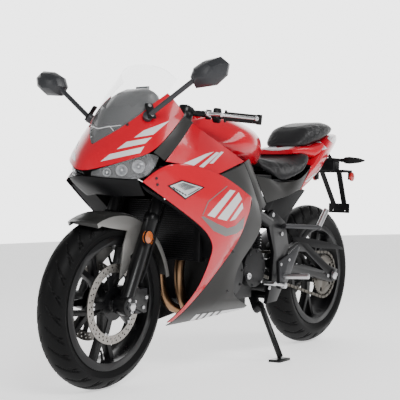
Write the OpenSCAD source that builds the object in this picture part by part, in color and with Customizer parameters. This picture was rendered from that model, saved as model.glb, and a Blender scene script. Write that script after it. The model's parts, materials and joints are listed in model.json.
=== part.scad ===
// Fully faired sport motorcycle, parked on its side stand and leaning to its left.
// Lengths are in millimetres. Modules are drawn upright: X forward, with the rear axle at 0,
// Y to the left, Z up from the ground. The last lines lean the whole bike and centre it.

/* [Stance] */
// Distance between the two axles
wheelbase = 1365; // [1300:5:1420]
// Angle of the steering axis from the vertical
rake = 24.5; // [22:0.5:27]
// Distance from the steering axis to the front contact point, on the ground
trail = 95; // [85:1:105]
// Lean of the parked bike towards its stand
lean = 4; // [3:0.5:6]
// Steering angle of the parked bike, to the left
steer_rest = 3; // [0:0.5:8]
// Free gap between parts that move past each other
run_gap = 5; // [5:0.5:8]
// Gap between a part and its seat
seat_gap = 0.3; // [0.2:0.05:0.5]

/* [Front wheel] */
// Height of the front tyre above its bead seat
front_tyre_h = 75; // [68:1:85]
// Width of the front tyre
front_tyre_w = 110; // [100:2:120]
// Diameter of the bead seat of both rims
bead_d = 436; // [430:1:442]
// Inner width of the front rim
front_rim_w = 84; // [76:1:90]
// Diameter of the front axle
front_axle_d = 15; // [12:0.5:20]

/* [Rear wheel] */
// Height of the rear tyre above its bead seat
rear_tyre_h = 95; // [85:1:105]
// Width of the rear tyre
rear_tyre_w = 140; // [130:2:150]
// Inner width of the rear rim
rear_rim_w = 112; // [100:1:120]
// Diameter of the rear axle
rear_axle_d = 17; // [15:0.5:20]
// Number of forked spokes in each wheel
spoke_count = 5; // [5:1:6]

/* [Brakes and chain] */
// Diameter of the front discs
front_disc_d = 272; // [260:2:300]
// Distance of each front disc from the middle of the wheel
front_disc_y = 47; // [44:1:50]
// Diameter of the rear disc
rear_disc_d = 220; // [200:2:240]
// Thickness of the discs
disc_t = 4.5; // [4:0.5:6]
// Diameter over the teeth of the rear sprocket
sprocket_d = 186; // [170:2:200]
// Distance of the chain from the middle of the bike
chain_y = 90; // [86:1:94]

/* [Fork] */
// Distance between the fork legs
fork_spacing = 184; // [176:2:196]
// Diameter of the fork tubes
fork_tube_d = 41; // [37:1:43]
// Diameter of the fork sliders
slider_d = 50; // [46:1:54]
// Length of the sliders above the axle
slider_len = 330; // [300:5:350]

/* [Panels] */
// Thickness of the moulded panels
panel_t = 3; // [2:0.5:4]
// Half of the gap along the seams between panels
seam = 0.3; // [0.2:0.05:0.5]

/* [Handlebar] */
// Diameter of the bar tubes
bar_d = 22; // [20:1:24]
// Diameter of the grips
grip_d = 33; // [30:1:36]
// Length of the grips
grip_len = 122; // [110:2:130]

/* [Stand and mounts] */
// Diameter of the stand leg
stand_leg_d = 24; // [20:1:28]
// Thread size of the lifting spools' holes in the swing arm
spool_d = 8; // [6:1:10]
// Diameter of the holes in the plate bracket
plate_hole_d = 7; // [6:0.5:8]

/* [Hidden] */
bead_r = bead_d / 2;
front_r = bead_r + front_tyre_h;
rear_r = bead_r + rear_tyre_h;
// Front axle in front of the datum, to which the frame and the panels are drawn
front_x = 1365;
rear_x = front_x - wheelbase;
fork_y = fork_spacing / 2;
// Distance of the fork legs in front of the steering axis
fork_offset = front_r * sin(rake) - trail * cos(rake);
// Middle of the bounding box, seen from above, and the drop of the leaned crowns
origin_x = 672;
origin_y = 76;
lift = rear_tyre_w / 2 * (1 - cos(lean));
// Swing arm pivot, and the stand's pivot
pivot = [480, 0, 385];
stand_pivot = [548, 100, 214];
stand_pin_d = 12;
// Foot on the ground, and from it the slant of the stand's pivot and the leg's length
stand_foot = [560, 225, 225 * tan(lean)];
stand_splay = atan2(stand_foot[1] - stand_pivot[1], stand_pivot[2] - stand_foot[2]);
stand_len = norm([stand_foot[1] - stand_pivot[1], stand_pivot[2] - stand_foot[2]]);
// Outer face of the frame plates
plate_y = 156;
pivot_d = 20;
stem_r = 14;
// Parts of the wheels that several nodes share
hub_r = 40;
front_hub_half = front_disc_y - disc_t / 2 - seat_gap;
rear_hub_half = 62;
rear_disc_y = -76;
lip = 8;
// Front sprocket of the chain drive
drive = [560, 395];
drive_r = 36;
// Back face of the radiator
radiator_x = 1030;
chain_w = 15;
chain_h = 13;
// Middle of the filler cap, with its hinge in front
cap = [845, 0, 974];
cap_r = 40;
cap_hinge = [cap_r + 10, 4.5];
// Outer faces of the tabs that hold the rear reflectors
reflector_y = 94;
// Rider peg
peg = [458, 168, 338];
$fn = 48;

// Curves and surfaces

function mix(a, b, t) = a + (b - a) * t;

// Point at t of a smooth curve through the points p
function curve(p, t) =
    let (n = len(p) - 1, s = t * n, i = min(n - 1, floor(s)), f = s - i,
         a = p[max(0, i - 1)], b = p[i], c = p[i + 1], d = p[min(n, i + 2)])
    b + 0.5 * f * ((c - a) + f * ((2 * a - 5 * b + 4 * c - d) + f * (3 * b - a - 3 * c + d)));

// Point of the smooth surface through rows of points, at u along a row and v across the rows
function at(rows, u, v) = curve([for (r = rows) curve(r, u)], v);

// Grid of points on that surface
function grid(rows, nu, nv) = [for (i = [0 : nv]) [for (j = [0 : nu]) at(rows, j / nu, i / nv)]];

function unit(v) = v / norm(v);

// Outward normal of a grid at one of its points
function normal(g, i, j) =
    unit(cross(g[i][min(len(g[0]) - 1, j + 1)] - g[i][max(0, j - 1)],
               g[min(len(g) - 1, i + 1)][j] - g[max(0, i - 1)][j]));

// The grid moved by d along its normals
function moved(g, d) =
    [for (i = [0 : len(g) - 1]) [for (j = [0 : len(g[0]) - 1]) g[i][j] + d * normal(g, i, j)]];

function flip(p) = [p[0], -p[1], p[2]];

// Rows given from the middle plane to the left, completed with the mirrored right side
function both_rows(rows) =
    concat([for (i = [len(rows) - 1 : -1 : 1]) [for (p = rows[i]) flip(p)]], rows);

// The same, for points of one row given from the left to the middle plane
function both_ends(row) = concat(row, [for (i = [len(row) - 2 : -1 : 0]) flip(row[i])]);

// Closed solid between an outer and an inner grid
module between(outer, inner) {
    nv = len(outer) - 1;
    nu = len(outer[0]) - 1;
    m = nu + 1;
    k = m * (nv + 1);
    polyhedron(
        points = concat([for (r = outer) each r], [for (r = inner) each r]),
        faces = concat(
            [for (i = [0 : nv - 1]) for (j = [0 : nu - 1]) let (a = i * m + j) each
                [[a, a + m, a + m + 1], [a, a + m + 1, a + 1],
                 [k + a, k + a + 1, k + a + m + 1], [k + a, k + a + m + 1, k + a + m]]],
            [for (j = [0 : nu - 1]) let (a = j, d = nv * m + j) each
                [[a, a + 1, k + a + 1], [a, k + a + 1, k + a],
                 [d + 1, d, k + d], [d + 1, k + d, k + d + 1]]],
            [for (i = [0 : nv - 1]) let (a = i * m, b = i * m + nu) each
                [[a + m, a, k + a], [a + m, k + a, k + a + m],
                 [b, b + m, k + b + m], [b, k + b + m, k + b]]]));
}

// Sheet of thickness t, inside the grid
module sheet(g, t) {
    between(g, moved(g, -t));
}

// Closed solid through rings of points, each ring anticlockwise seen from its far side
module loft(rings) {
    n = len(rings[0]);
    last = len(rings) - 1;
    polyhedron(
        points = [for (r = rings) each r],
        faces = concat(
            [for (i = [0 : last - 1]) for (j = [0 : n - 1])
                let (a = i * n + j, b = i * n + (j + 1) % n) each
                [[a, a + n, b + n], [a, b + n, b]]],
            [[for (j = [0 : n - 1]) j]],
            [[for (j = [n - 1 : -1 : 0]) last * n + j]]));
}

// Round tube of radius r swept along a smooth curve through the points p
module tube(p, r, rings = 14, sides = 10, ref = [0, 1, 0]) {
    loft([for (i = [0 : rings])
        let (t = i / rings, c = curve(p, t),
             d = unit(curve(p, min(1, t + 0.01)) - curve(p, max(0, t - 0.01))),
             u = unit(cross(ref, d)), w = cross(d, u))
        [for (j = [0 : sides - 1]) let (a = 360 * j / sides) c + r * (cos(a) * u + sin(a) * w)]]);
}

// Straight rod between two points
module rod(a, b, d) {
    v = b - a;
    translate(a)
        rotate([0, acos(v[2] / norm(v)), atan2(v[1], v[0])])
        cylinder(h = norm(v), d = d);
}

// Straight flat bar between two points, w wide across the bike and t thick
module bar(a, b, w, t) {
    v = b - a;
    translate(a)
        rotate([0, acos(v[2] / norm(v)), atan2(v[1], v[0])])
        translate([-t / 2, -w / 2, 0])
        cube([t, w, norm(v)]);
}

// Cylinder along Y from y0 to y1, around x and z
module barrel(x, z, y0, y1, d) {
    translate([x, y0, z])
        rotate([-90, 0, 0])
        cylinder(h = y1 - y0, d = d);
}

// Plate along Y from y0 to y1, from an outline of x and z
module plate(outline, y0, y1) {
    translate([0, y1, 0])
        rotate([90, 0, 0])
        linear_extrude(height = y1 - y0)
        polygon(outline);
}

module pair() {
    children();
    mirror([0, 1, 0])
        children();
}

// Places

module leaned() {
    translate([-origin_x, -origin_y, lift])
        rotate([-lean, 0, 0])
        children();
}

module steered() {
    translate([front_x + trail, 0, 0])
        rotate([0, -rake, 0])
        rotate([0, 0, steer_rest])
        rotate([0, rake, 0])
        translate([-front_x - trail, 0, 0])
        children();
}

// Axle of the front wheel as origin, with Z along the fork legs
module fork_frame() {
    translate([front_x, 0, front_r])
        rotate([0, -rake, 0])
        children();
}

module at_front_axle() {
    translate([front_x, 0, front_r])
        rotate([-90, 0, 0])
        children();
}

module at_rear_axle() {
    translate([rear_x, 0, rear_r])
        rotate([-90, 0, 0])
        children();
}

// Pivot of the stand as origin, with Y along its pin
module stand_frame() {
    translate(stand_pivot)
        rotate([stand_splay, 0, 0])
        children();
}

// Root of the left rear signal as origin, with Z out along it
module signal_frame() {
    translate([-152, 84, 838])
        rotate([0, 0, 18])
        rotate([-90, 0, 0])
        children();
}

// Wheels, drawn around Z

// Round crown, side walls and bead seats of a tyre
module tyre(r, w, rim_w) {
    c = w / 2;
    crown = [for (a = [-80 : 10 : 80]) [r - c + c * cos(a), c * sin(a)]];
    rotate_extrude($fn = 96)
        polygon(concat(
            [[bead_r, -rim_w / 2 + seat_gap], [bead_r + lip + 6, -rim_w / 2 + seat_gap]],
            crown,
            [[bead_r + lip + 6, rim_w / 2 - seat_gap], [bead_r, rim_w / 2 - seat_gap]]));
}

// Rim well with a lip on each side
module rim_ring(rim_w) {
    h = rim_w / 2;
    r = bead_r - seat_gap;
    rotate_extrude($fn = 96)
        polygon([[r - 18, -h - 4], [r + lip, -h - 4], [r + lip, -h], [r, -h], [r, h], [r + lip, h],
                 [r + lip, h + 4], [r - 18, h + 4], [r - 14, h - 10], [r - 20, 0], [r - 14, 10 - h]]);
}

// One forked spoke from the hub to the rim
module spoke(t) {
    reach = bead_r - 14;
    translate([0, 0, -t / 2])
        linear_extrude(height = t)
        union() {
            polygon([[20, -17], [100, -13], [112, 0], [100, 13], [20, 17]]);
            polygon([[92, 2], [96, -13], [reach, -58], [reach + 2, -40], [118, -3]]);
            polygon([[118, 3], [reach + 2, 40], [reach, 58], [96, 13], [92, -2]]);
        }
}

module rim(rim_w, hub_half, axle_d, spoke_t) {
    difference() {
        union() {
            rim_ring(rim_w);
            translate([0, 0, -hub_half])
                cylinder(h = 2 * hub_half, r = hub_r);
            for (i = [0 : spoke_count - 1])
                rotate([0, 0, 360 * i / spoke_count + 18])
                    spoke(spoke_t);
        }
        translate([0, 0, -hub_half - 1])
            cylinder(h = 2 * hub_half + 2, d = axle_d + 2 * seat_gap);
    }
}

// Brake disc with a five-armed carrier and a row of holes
module disc(d, ring, holes) {
    difference() {
        union() {
            difference() {
                cylinder(h = disc_t, d = d, center = true);
                cylinder(h = disc_t + 2, d = d - 2 * ring, center = true);
            }
            cylinder(h = disc_t, r = hub_r + 16, center = true);
            for (i = [0 : 4])
                rotate([0, 0, 72 * i])
                    translate([0, -11, -disc_t / 2])
                    cube([d / 2 - ring + 2, 22, disc_t]);
        }
        cylinder(h = disc_t + 2, r = hub_r - 12, center = true);
        for (i = [0 : holes - 1])
            rotate([0, 0, 360 * i / holes])
                translate([d / 2 - ring * (0.35 + 0.3 * (i % 2)), 0, 0])
                cylinder(h = disc_t + 2, d = 8, center = true, $fn = 16);
    }
}

module front_tyre() {
    color("dimgray")
        at_front_axle()
        tyre(front_r, front_tyre_w, front_rim_w);
}

module front_rim() {
    color("black")
        at_front_axle()
        rim(front_rim_w, front_hub_half, front_axle_d, 28);
}

module front_discs() {
    color("silver")
        at_front_axle()
        for (s = [-1, 1])
            translate([0, 0, s * front_disc_y])
                disc(front_disc_d, 30, 40);
}

module rear_tyre() {
    color("dimgray")
        at_rear_axle()
        tyre(rear_r, rear_tyre_w, rear_rim_w);
}

module rear_rim() {
    color("black")
        at_rear_axle()
        rim(rear_rim_w, rear_hub_half, rear_axle_d, 32);
}

module rear_disc() {
    color("silver")
        at_rear_axle()
        union() {
            translate([0, 0, rear_disc_y])
                disc(rear_disc_d, 28, 30);
            difference() {
                translate([0, 0, rear_disc_y + disc_t / 2])
                    cylinder(h = -rear_disc_y - disc_t / 2 - rear_hub_half - seat_gap, r = hub_r);
                cylinder(h = 300, d = rear_axle_d + 2 * seat_gap, center = true);
            }
        }
}

// Sprocket with its cush drive boss against the hub
module rear_sprocket() {
    teeth = 40;
    tip = sprocket_d / 2;
    color("dimgray")
        at_rear_axle()
        difference() {
            union() {
                translate([0, 0, chain_y - 3.5])
                    linear_extrude(height = 7)
                    polygon([for (i = [0 : 4 * teeth - 1])
                        let (a = 90 * i / teeth, r = tip - [0, 1, 7, 6][i % 4])
                        r * [cos(a), sin(a)]]);
                translate([0, 0, rear_hub_half + seat_gap])
                    cylinder(h = chain_y - rear_hub_half, r = hub_r + 14);
            }
            translate([0, 0, rear_hub_half])
                cylinder(h = 60, d = rear_axle_d + 2 * seat_gap);
            for (i = [0 : 4])
                rotate([0, 0, 72 * i])
                    translate([tip - 24, 0, chain_y - 10])
                    cylinder(h = 20, d = 18, $fn = 24);
        }
}

// Steering

module triple_clamps() {
    color("black")
        steered()
        fork_frame()
        difference() {
            union() {
                for (z = [505, 702]) {
                    pair()
                        translate([0, fork_y, z])
                        cylinder(h = 26, d = fork_tube_d + 20);
                    translate([-fork_offset - 26, -fork_y, z])
                        cube([fork_offset + 36, fork_spacing, 26]);
                }
                translate([-fork_offset, 0, 505])
                    cylinder(h = 223, r = stem_r);
            }
            pair()
                translate([0, fork_y, 490])
                cylinder(h = 250, d = fork_tube_d + 2 * seat_gap);
        }
}

module fork_tubes() {
    color("silver")
        steered()
        fork_frame()
        pair()
        translate([0, fork_y, slider_len - 60 + seat_gap])
        cylinder(h = 755 - slider_len + 60, d = fork_tube_d);
}

// Sliders with the axle clamp at the bottom and a lug for the caliper behind
module fork_sliders() {
    color("black")
        steered()
        fork_frame()
        pair()
        difference() {
            union() {
                translate([0, fork_y, -30])
                    cylinder(h = slider_len + 30, d = slider_d);
                translate([0, fork_y, slider_len - 26])
                    cylinder(h = 26, d = slider_d + 5);
                translate([0, fork_y - slider_d / 2, 0])
                    rotate([-90, 0, 0])
                    cylinder(h = slider_d, d = 62);
                translate([-128, fork_y - slider_d / 2, 16])
                    cube([128, 16, 66]);
            }
            translate([0, fork_y, slider_len - 60])
                cylinder(h = 61, d = fork_tube_d + 2 * seat_gap);
            translate([0, 0, 0])
                rotate([-90, 0, 0])
                cylinder(h = 200, d = front_axle_d + 2 * seat_gap);
        }
}

module front_axle() {
    end = fork_y + slider_d / 2;
    color("silver")
        steered()
        at_front_axle()
        union() {
            translate([0, 0, -end - 14])
                cylinder(h = 2 * end + 28, d = front_axle_d);
            for (s = [-1, 1])
                translate([0, 0, s * (end + 7 + seat_gap)])
                    cylinder(h = 14, d = 30, center = true, $fn = 6);
            for (s = [-1, 1])
                translate([0, 0, s * (front_hub_half + fork_y - slider_d / 2) / 2])
                    cylinder(h = fork_y - slider_d / 2 - front_hub_half - 2 * seat_gap, d = 26,
                             center = true);
        }
}

// Two-piston calipers around the discs, bolted to the sliders' lugs
module front_calipers() {
    y0 = front_disc_y - 20;
    y1 = fork_y - slider_d / 2 - seat_gap;
    slot = disc_t / 2 + run_gap;
    color("dimgray")
        steered()
        fork_frame()
        pair()
        rotate([0, -155, 0])
        difference() {
            translate([front_disc_d / 2 - 42, y0, -42])
                cube([64, y1 - y0, 84]);
            translate([0, front_disc_y - slot, -50])
                cube([front_disc_d / 2 + run_gap, 2 * slot, 100]);
        }
}

// Crown over the tyre with a straight, pointed beak, and a skirt down to each slider
module front_fender() {
    r0 = front_r + 12;
    half = front_tyre_w / 2 + 4.2 + run_gap;
    first = 66;
    beak = [48, -2];
    // Distances from the crown's radius, and half widths, of the outer and the inner skin
    outer = [[-22, half], [-6, half], [4, half - 16]];
    inner = [[-22, half - 4], [-8, half - 4], [0, half - 18]];
    function across(p) = concat(p, [for (i = [2 : -1 : 0]) [p[i][0], -p[i][1]]]);
    function skin(p) = concat(
        [for (i = [0 : 18]) let (a = mix(165, first, i / 18))
            [for (q = across(p)) [(r0 + q[0]) * cos(a), q[1], (r0 + q[0]) * sin(a)]]],
        [for (t = [0.25 : 0.25 : 1]) let (d = q_scale(t), w = 1 - 0.86 * pow(t, 1.2))
            [for (q = across(p)) [(r0 + q[0] * d) * cos(first) + beak[0] * t, q[1] * w,
                                  (r0 + q[0] * d) * sin(first) + beak[1] * t]]]);
    function q_scale(t) = 1 - 0.7 * t;
    color("dimgray")
        steered()
        translate([front_x, 0, front_r])
        union() {
            between(skin(outer), skin(inner));
            pair()
                plate([[118, r0 - 36], [60, r0 - 46], [-36, r0 - 58], [-18, 200], [-6, 84], [-119, 169],
                       [-154, r0 - 60], [-156, r0 - 50], [-70, r0 - 16], [20, r0 - 7], [90, r0 - 20]],
                      half - 4, half);
            pair()
                barrel(-180 * sin(rake), 180 * cos(rake), half - 2,
                       fork_y - slider_d / 2 - seat_gap, 30);
        }
}

// Round reflectors in front of the sliders, each on a tab
module fork_reflectors() {
    y = fork_y + slider_d / 2 + seat_gap;
    z = slider_len - 92;
    color("orange")
        steered()
        fork_frame()
        pair()
        union() {
            plate([[-8, z - 11], [30, z - 14], [30, z + 14], [-8, z + 11]], y, y + 3);
            barrel(30, z, y + 1, y + 12, 44);
        }
}

// Hoses from the calipers up behind the legs to the lower clamp
module brake_hoses() {
    color("black")
        steered()
        fork_frame()
        pair()
        tube([[-92, 56, 112], [-84, 66, 140], [-54, 90, 190], [-44, 96, 270], [-44, 96, 400], [-42, 92, 460],
              [-42, 88, 504.5]], 5, 16, 8);
}

// Bars on clamps above the upper yoke, given along the fork, as is the way straight up
bar_in = [-5, fork_y, 738.6];
bar_out = [-116, fork_y + 230, 770.4];
up = [sin(rake), 0, cos(rake)];

module handlebars() {
    color("black")
        steered()
        fork_frame()
        pair()
        difference() {
            union() {
                rod(bar_in, bar_out, bar_d);
                translate([0, fork_y, 728.5])
                    cylinder(h = 24, d = fork_tube_d + 18);
                rod(mix(bar_in, bar_out, 0.38), mix(bar_in, bar_out, 0.47), 34);
            }
            translate([0, fork_y, 700])
                cylinder(h = 80, d = fork_tube_d + 2 * seat_gap);
        }
}

module grips() {
    out = unit(bar_out - bar_in);
    g0 = bar_out - grip_len * out + 4 * out;
    color("black")
        steered()
        fork_frame()
        pair()
        difference() {
            union() {
                rod(g0, bar_out + 8 * out, grip_d);
                rod(g0, g0 + 7 * out, grip_d + 12);
                rod(bar_out - 2 * out, bar_out + 16 * out, grip_d + 4);
            }
            rod(g0 - out, bar_out + seat_gap * out, bar_d + 2 * seat_gap);
        }
}

// Lever blades on perches, with the reservoir of the front brake on the right
module hand_levers() {
    out = unit(bar_out - bar_in);
    ahead = unit(cross(out, up));
    perch = mix(bar_in, bar_out, 0.28);
    color("silver")
        steered()
        fork_frame() {
            pair()
                difference() {
                    union() {
                        rod(perch, perch + 20 * out, bar_d + 14);
                        rod(perch + 10 * out, perch + 10 * out + 42 * ahead, 16);
                        rod(perch + 10 * out + 42 * ahead, perch + 60 * out + 50 * ahead, 13);
                        rod(perch + 60 * out + 50 * ahead, bar_out + 46 * ahead, 11);
                        translate(perch + 10 * out + 42 * ahead)
                            sphere(d = 20, $fn = 24);
                        translate(perch + 60 * out + 50 * ahead)
                            sphere(d = 16, $fn = 24);
                        translate(bar_out + 46 * ahead)
                            sphere(d = 17, $fn = 24);
                    }
                    rod(perch - out, perch + 21 * out, bar_d + 2 * seat_gap);
                }
            mirror([0, 1, 0])
                translate(perch + 10 * out + 38 * ahead + 4 * up)
                rotate([0, rake, 0])
                cylinder(h = 46, d = 40);
        }
}

// Frame and engine

module main_frame() {
    head = [for (z = [538, 697])
        [front_x - fork_offset * cos(rake) - z * sin(rake), 0,
         front_r - fork_offset * sin(rake) + z * cos(rake)]];
    color("dimgray")
        difference() {
            union() {
                rod(head[0], head[1], 62);
                pair() {
                    rod(mix(head[0], head[1], 0.5), [985, 118, 742], 44);
                    translate([985, 118, 742])
                        sphere(d = 50);
                    rod([985, 118, 742], [560, 146, 560], 44);
                    plate([[590, 585], [540, 610], [450, 560], [420, 470], [428, 330], [500, 240],
                           [575, 235], [540, 330], [530, 440]], plate_y - 16, plate_y);
                    rod([474, 100, 512], [474, 140, 512], 40);
                }
                rod([450, -150, 545], [450, 150, 545], 34);
                rod([520, -150, 262], [520, 150, 262], 30);
                rod([660, -138, 603], [660, 138, 603], 30);
                translate([660, 0, 603])
                    cylinder(h = 188, d = 40);
                stand_frame() {
                    plate([[-20, 0], [20, 0], [6, 74], [-44, 74]], -18, -seat_gap);
                    barrel(0, 0, -18, -seat_gap, 40);
                    barrel(0, 0, -10, 18, stand_pin_d);
                    barrel(0, 0, 16 + seat_gap, 22, 24);
                }
                translate([1085, -18, 842])
                    cube([225, 36, 22]);
                translate([1206, -70, 842])
                    cube([20, 140, 22]);
                for (y = [-60, 60])
                    translate([1216, y, 850])
                        cylinder(h = 83.5, d = 14);
            }
            rod(mix(head[0], head[1], -0.2), mix(head[0], head[1], 1.2), 2 * stem_r + 2 * seat_gap);
            barrel(pivot[0], pivot[2], -200, 200, pivot_d + 2 * seat_gap);
        }
}

// Rails under the seats, and the stays of the tail
module subframe() {
    color("black")
        union() {
            pair() {
                rod([530, 106, 585], [-60, 44, 878], 25);
                rod([530, 94, 585], [530, plate_y - 16 - seat_gap, 585], 28);
            }
            rod([-40, -48, 869], [-40, 48, 869], 18);
            rod([330, -85, 694], [330, 85, 694], 18);
            translate([-40, 0, 869])
                cylinder(h = 72.3, d = 16);
        }
}

module engine() {
    color("black")
        union() {
            translate([622, -112, 262])
                cube([270, 224, 208]);
            translate([545, -112, 280])
                cube([90, 186, 170]);
            translate([790, -100, 330])
                rotate([0, 14, 0])
                translate([-60, 0, 60])
                cube([140, 200, 235]);
            translate([790, -92, 330])
                rotate([0, 14, 0])
                translate([-50, 0, 290])
                cube([120, 184, 44]);
            for (y = [-92, 72])
                translate([880, y, 524])
                    cube([radiator_x - seat_gap - 880, 20, 24]);
            barrel(560, 298, 60, plate_y - 16 - seat_gap, 34);
            barrel(560, 298, -plate_y + 16 + seat_gap, -100, 34);
            barrel(drive[0], drive[1], 70, chain_y + 6, 30);
            barrel(drive[0], drive[1], chain_y - 3, chain_y + 3, 2 * drive_r - 2 * seat_gap);
            barrel(820, 366, 112, 146, 176);
            barrel(820, 366, 146, 154, 120);
            barrel(640, 380, 112, 138, 150);
            barrel(800, 366, -150, -112, 200);
            barrel(640, 380, -136, -112, 140);
            translate([640, 36, 232])
                cube([170, 60, 40]);
        }
}

module radiator() {
    color("black")
        translate([radiator_x, 0, 428])
        union() {
            translate([0, -150, 0])
                cube([28, 300, 214]);
            for (s = [-1, 1])
                translate([-6, s * 164 - 14, 0])
                    cube([38, 28, 214]);
        }
}

// Header pipes down in front of the engine to one collector under it
module exhaust() {
    color("sienna")
        union() {
            pair()
                tube([[912.2, 44, 485], [960.7, 44, 472.9], [1000, 44, 420], [1000, 44, 330], [955, 38, 248],
                      [880, 24, 218], [840, 20, 218]], 19, 20, 12);
            translate([862, 0, 218])
                rotate([0, -90, 0])
                cylinder(h = 46, r = 38);
        }
}

module muffler() {
    color("dimgray")
        union() {
            tube([[814.7, 0, 218], [750, 0, 218], [650, -56, 206], [560, -112, 200], [470, -168, 208],
                  [400, -192, 262], [340, -200, 326]], 25, 20, 12);
            rod([350, -200, 316], [-30, -204, 462], 100);
            rod([-30, -204, 462], [-48, -204, 469], 66);
            rod([366, -200, 310], [320, -200, 327.5], 78);
        }
}

// Nose

// Rows of the nose from the middle to the left: screen edge, middle and lower edge
nose_rows = [
    [[1434, 0, 826], [1462, 0, 786], [1480, 0, 738]],
    [[1420, 24, 843], [1440, 54, 802], [1456, 66, 750]],
    [[1388, 60, 872], [1392, 112, 828], [1402, 140, 778]],
    [[1328, 102, 924], [1324, 150, 870], [1332, 180, 808]],
    [[1266, 122, 974], [1248, 158, 930], [1232, 178, 882]],
    [[1206, 132, 1014], [1186, 156, 980], [1156, 168, 942]]];
// Middle and top of each rib of the screen, from the same rows
screen_mid = [[1345, 0, 984], [1336, 46, 984], [1302, 86, 988], [1262, 112, 1002],
              [1216, 124, 1024], [1176, 131, 1043]];
screen_top = [[1216, 0, 1119], [1212, 36, 1117], [1203, 68, 1111], [1190, 96, 1101],
              [1172, 115, 1086], [1150, 126, 1066]];

module nose_cowl() {
    g = grid(both_rows(nose_rows), 6, 24);
    color("red")
        sheet(g, panel_t);
}

module windscreen() {
    rows = [for (i = [0 : len(nose_rows) - 1])
        let (low = nose_rows[i][0], d = unit(screen_mid[i] - low))
        [screen_top[i], screen_mid[i], low + 3 * seam * d]];
    color("lightblue", 0.4)
        sheet(grid(both_rows(rows), 7, 24), panel_t);
}

// Hood and instruments behind the screen, on a stay from the frame
module dash() {
    ring = [[1, 0], [1, 0.5], [0.86, 0.84], [0.5, 1], [-0.5, 1], [-0.86, 0.84], [-1, 0.5], [-1, 0]];
    stations = [[1184, 86, 942, 1020], [1215, 92, 936, 1034], [1262, 90, 924, 1016], [1310, 76, 912, 962]];
    color("dimgray")
        loft([for (s = stations) [for (p = ring) [s[0], p[0] * s[1], mix(s[2], s[3], p[1])]]]);
}

// Rows of a headlamp from the nose outwards: top, middle and low edge
lamp_rows = [
    [[1470, 33, 735], [1472, 33, 728], [1472, 33, 721]],
    [[1450, 72, 749], [1452, 70, 734], [1454, 68, 717]],
    [[1404, 132, 774], [1410, 128, 745], [1418, 122, 714]],
    [[1346, 172, 797], [1366, 167, 754], [1382, 161, 714]],
    [[1306, 184, 788], [1322, 182, 762], [1346, 177, 730]]];

module headlamps() {
    color("white")
        pair()
        sheet(grid(lamp_rows, 6, 12), 26);
}

// Dark strips beside the nose, from the lamps up to the instruments
trim_rows = [
    [[1334, 182, 802], [1312, 190, 791], [1291, 195, 777]],
    [[1282, 182, 842], [1258, 188, 833], [1229, 192, 823]],
    [[1228, 178, 880], [1202, 182, 875], [1171, 182, 867]],
    [[1155, 168, 937], [1131, 168, 929], [1106, 165, 918]]];

module nose_trims() {
    color("dimgray")
        pair()
        sheet(grid(trim_rows, 4, 12), panel_t);
}

// Chin under the lamps, and the ducts inside the fairing's front edges
chin_rows = [
    [[1484, 0, 718], [1470, 0, 694], [1400, 0, 660]],
    [[1466, 60, 714.5], [1446, 60, 692], [1380, 58, 654]],
    [[1414, 120, 710], [1396, 116, 691], [1350, 106, 656]],
    [[1378, 157, 710], [1360, 150, 690], [1318, 136, 658]]];
duct_rows = [
    [[1366, 161, 692], [1330, 140, 680], [1300, 126, 672]],
    [[1230, 206, 616], [1196, 184, 606], [1160, 166, 600]],
    [[1112, 225, 548], [1098, 204, 545], [1072, 180, 542]],
    [[1056, 229, 492], [1054, 204, 490], [1046, 178.7, 488]],
    [[1050, 217, 442], [1048, 198, 441], [1044, 178.7, 440]]];

module inner_cowl() {
    color("black") {
        sheet(grid(both_rows(chin_rows), 4, 18), panel_t);
        pair()
            sheet(grid(duct_rows, 3, 12), panel_t);
    }
}

// Side panels

// Upper facet of the side, from the trim strip back to the tank: top, middle, crease
facet_rows = [
    [[1104, 164.5, 916], [1195.5, 185.7, 847.4], [1288.5, 197, 774.5]],
    [[1040, 168, 890], [1110, 195, 830], [1190, 212, 766]],
    [[940, 176, 850], [1000, 202, 804], [1090, 216, 754]],
    [[808, 188, 794], [905, 204, 770], [1012, 216, 741]]];
// Main red panel from its crease down to the belly: front edge to rear edge
side_rows = [
    [[1380, 176, 704], [1262, 206, 769], [1020, 226, 742], [790, 214, 660]],
    [[1236, 214, 620], [1150, 230, 672], [980, 238, 668], [796, 211, 612]],
    [[1116, 232, 550], [1060, 239, 592], [950, 238, 598], [816, 208, 568]],
    [[1062, 234, 496], [1016, 238, 520], [930, 234, 540], [838, 206, 528]],
    [[1054, 222, 444], [1016, 225, 456], [950, 222, 466], [888, 202, 466]],
    [[1058, 178, 344], [1044, 182, 350], [1020, 184, 358], [990, 184, 366]],
    [[1066, 118, 258], [1058, 120, 259], [1050, 122, 260], [1040, 124, 262]],
    [[1080, 70, 206], [1072, 72, 207], [1064, 74, 208], [1056, 76, 210]]];
// Grey panel behind it, from the tank down to the belly
lower_rows = [
    [[1006, 214, 737], [940, 206, 752], [868, 198, 770], [806, 186, 788]],
    [[905, 212, 703], [860, 206, 712], [812, 199, 722], [765, 187, 734]],
    [[787, 211, 657], [766, 205, 659], [744, 198, 661], [720, 187, 664]],
    [[793, 208, 611], [760, 203, 610], [725, 196, 606], [680, 185, 600]],
    [[812, 205, 566], [770, 201, 560], [725, 194, 550], [678, 186, 536]],
    [[834, 203, 526], [810, 200, 510], [778, 195, 492], [745, 187, 470]],
    [[884, 199, 464], [868, 198, 450], [845, 195, 434], [818, 188, 410]],
    [[986, 182, 365], [950, 186, 360], [905, 190, 352], [856, 188, 340]],
    [[1036, 123, 261], [975, 146, 268], [900, 168, 276], [826, 176, 284]],
    [[1052, 75, 209], [950, 92, 216], [820, 118, 226], [690, 140, 236]],
    [[1050, 44, 190], [950, 60, 196], [820, 84, 206], [690, 104, 216]]];

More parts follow.
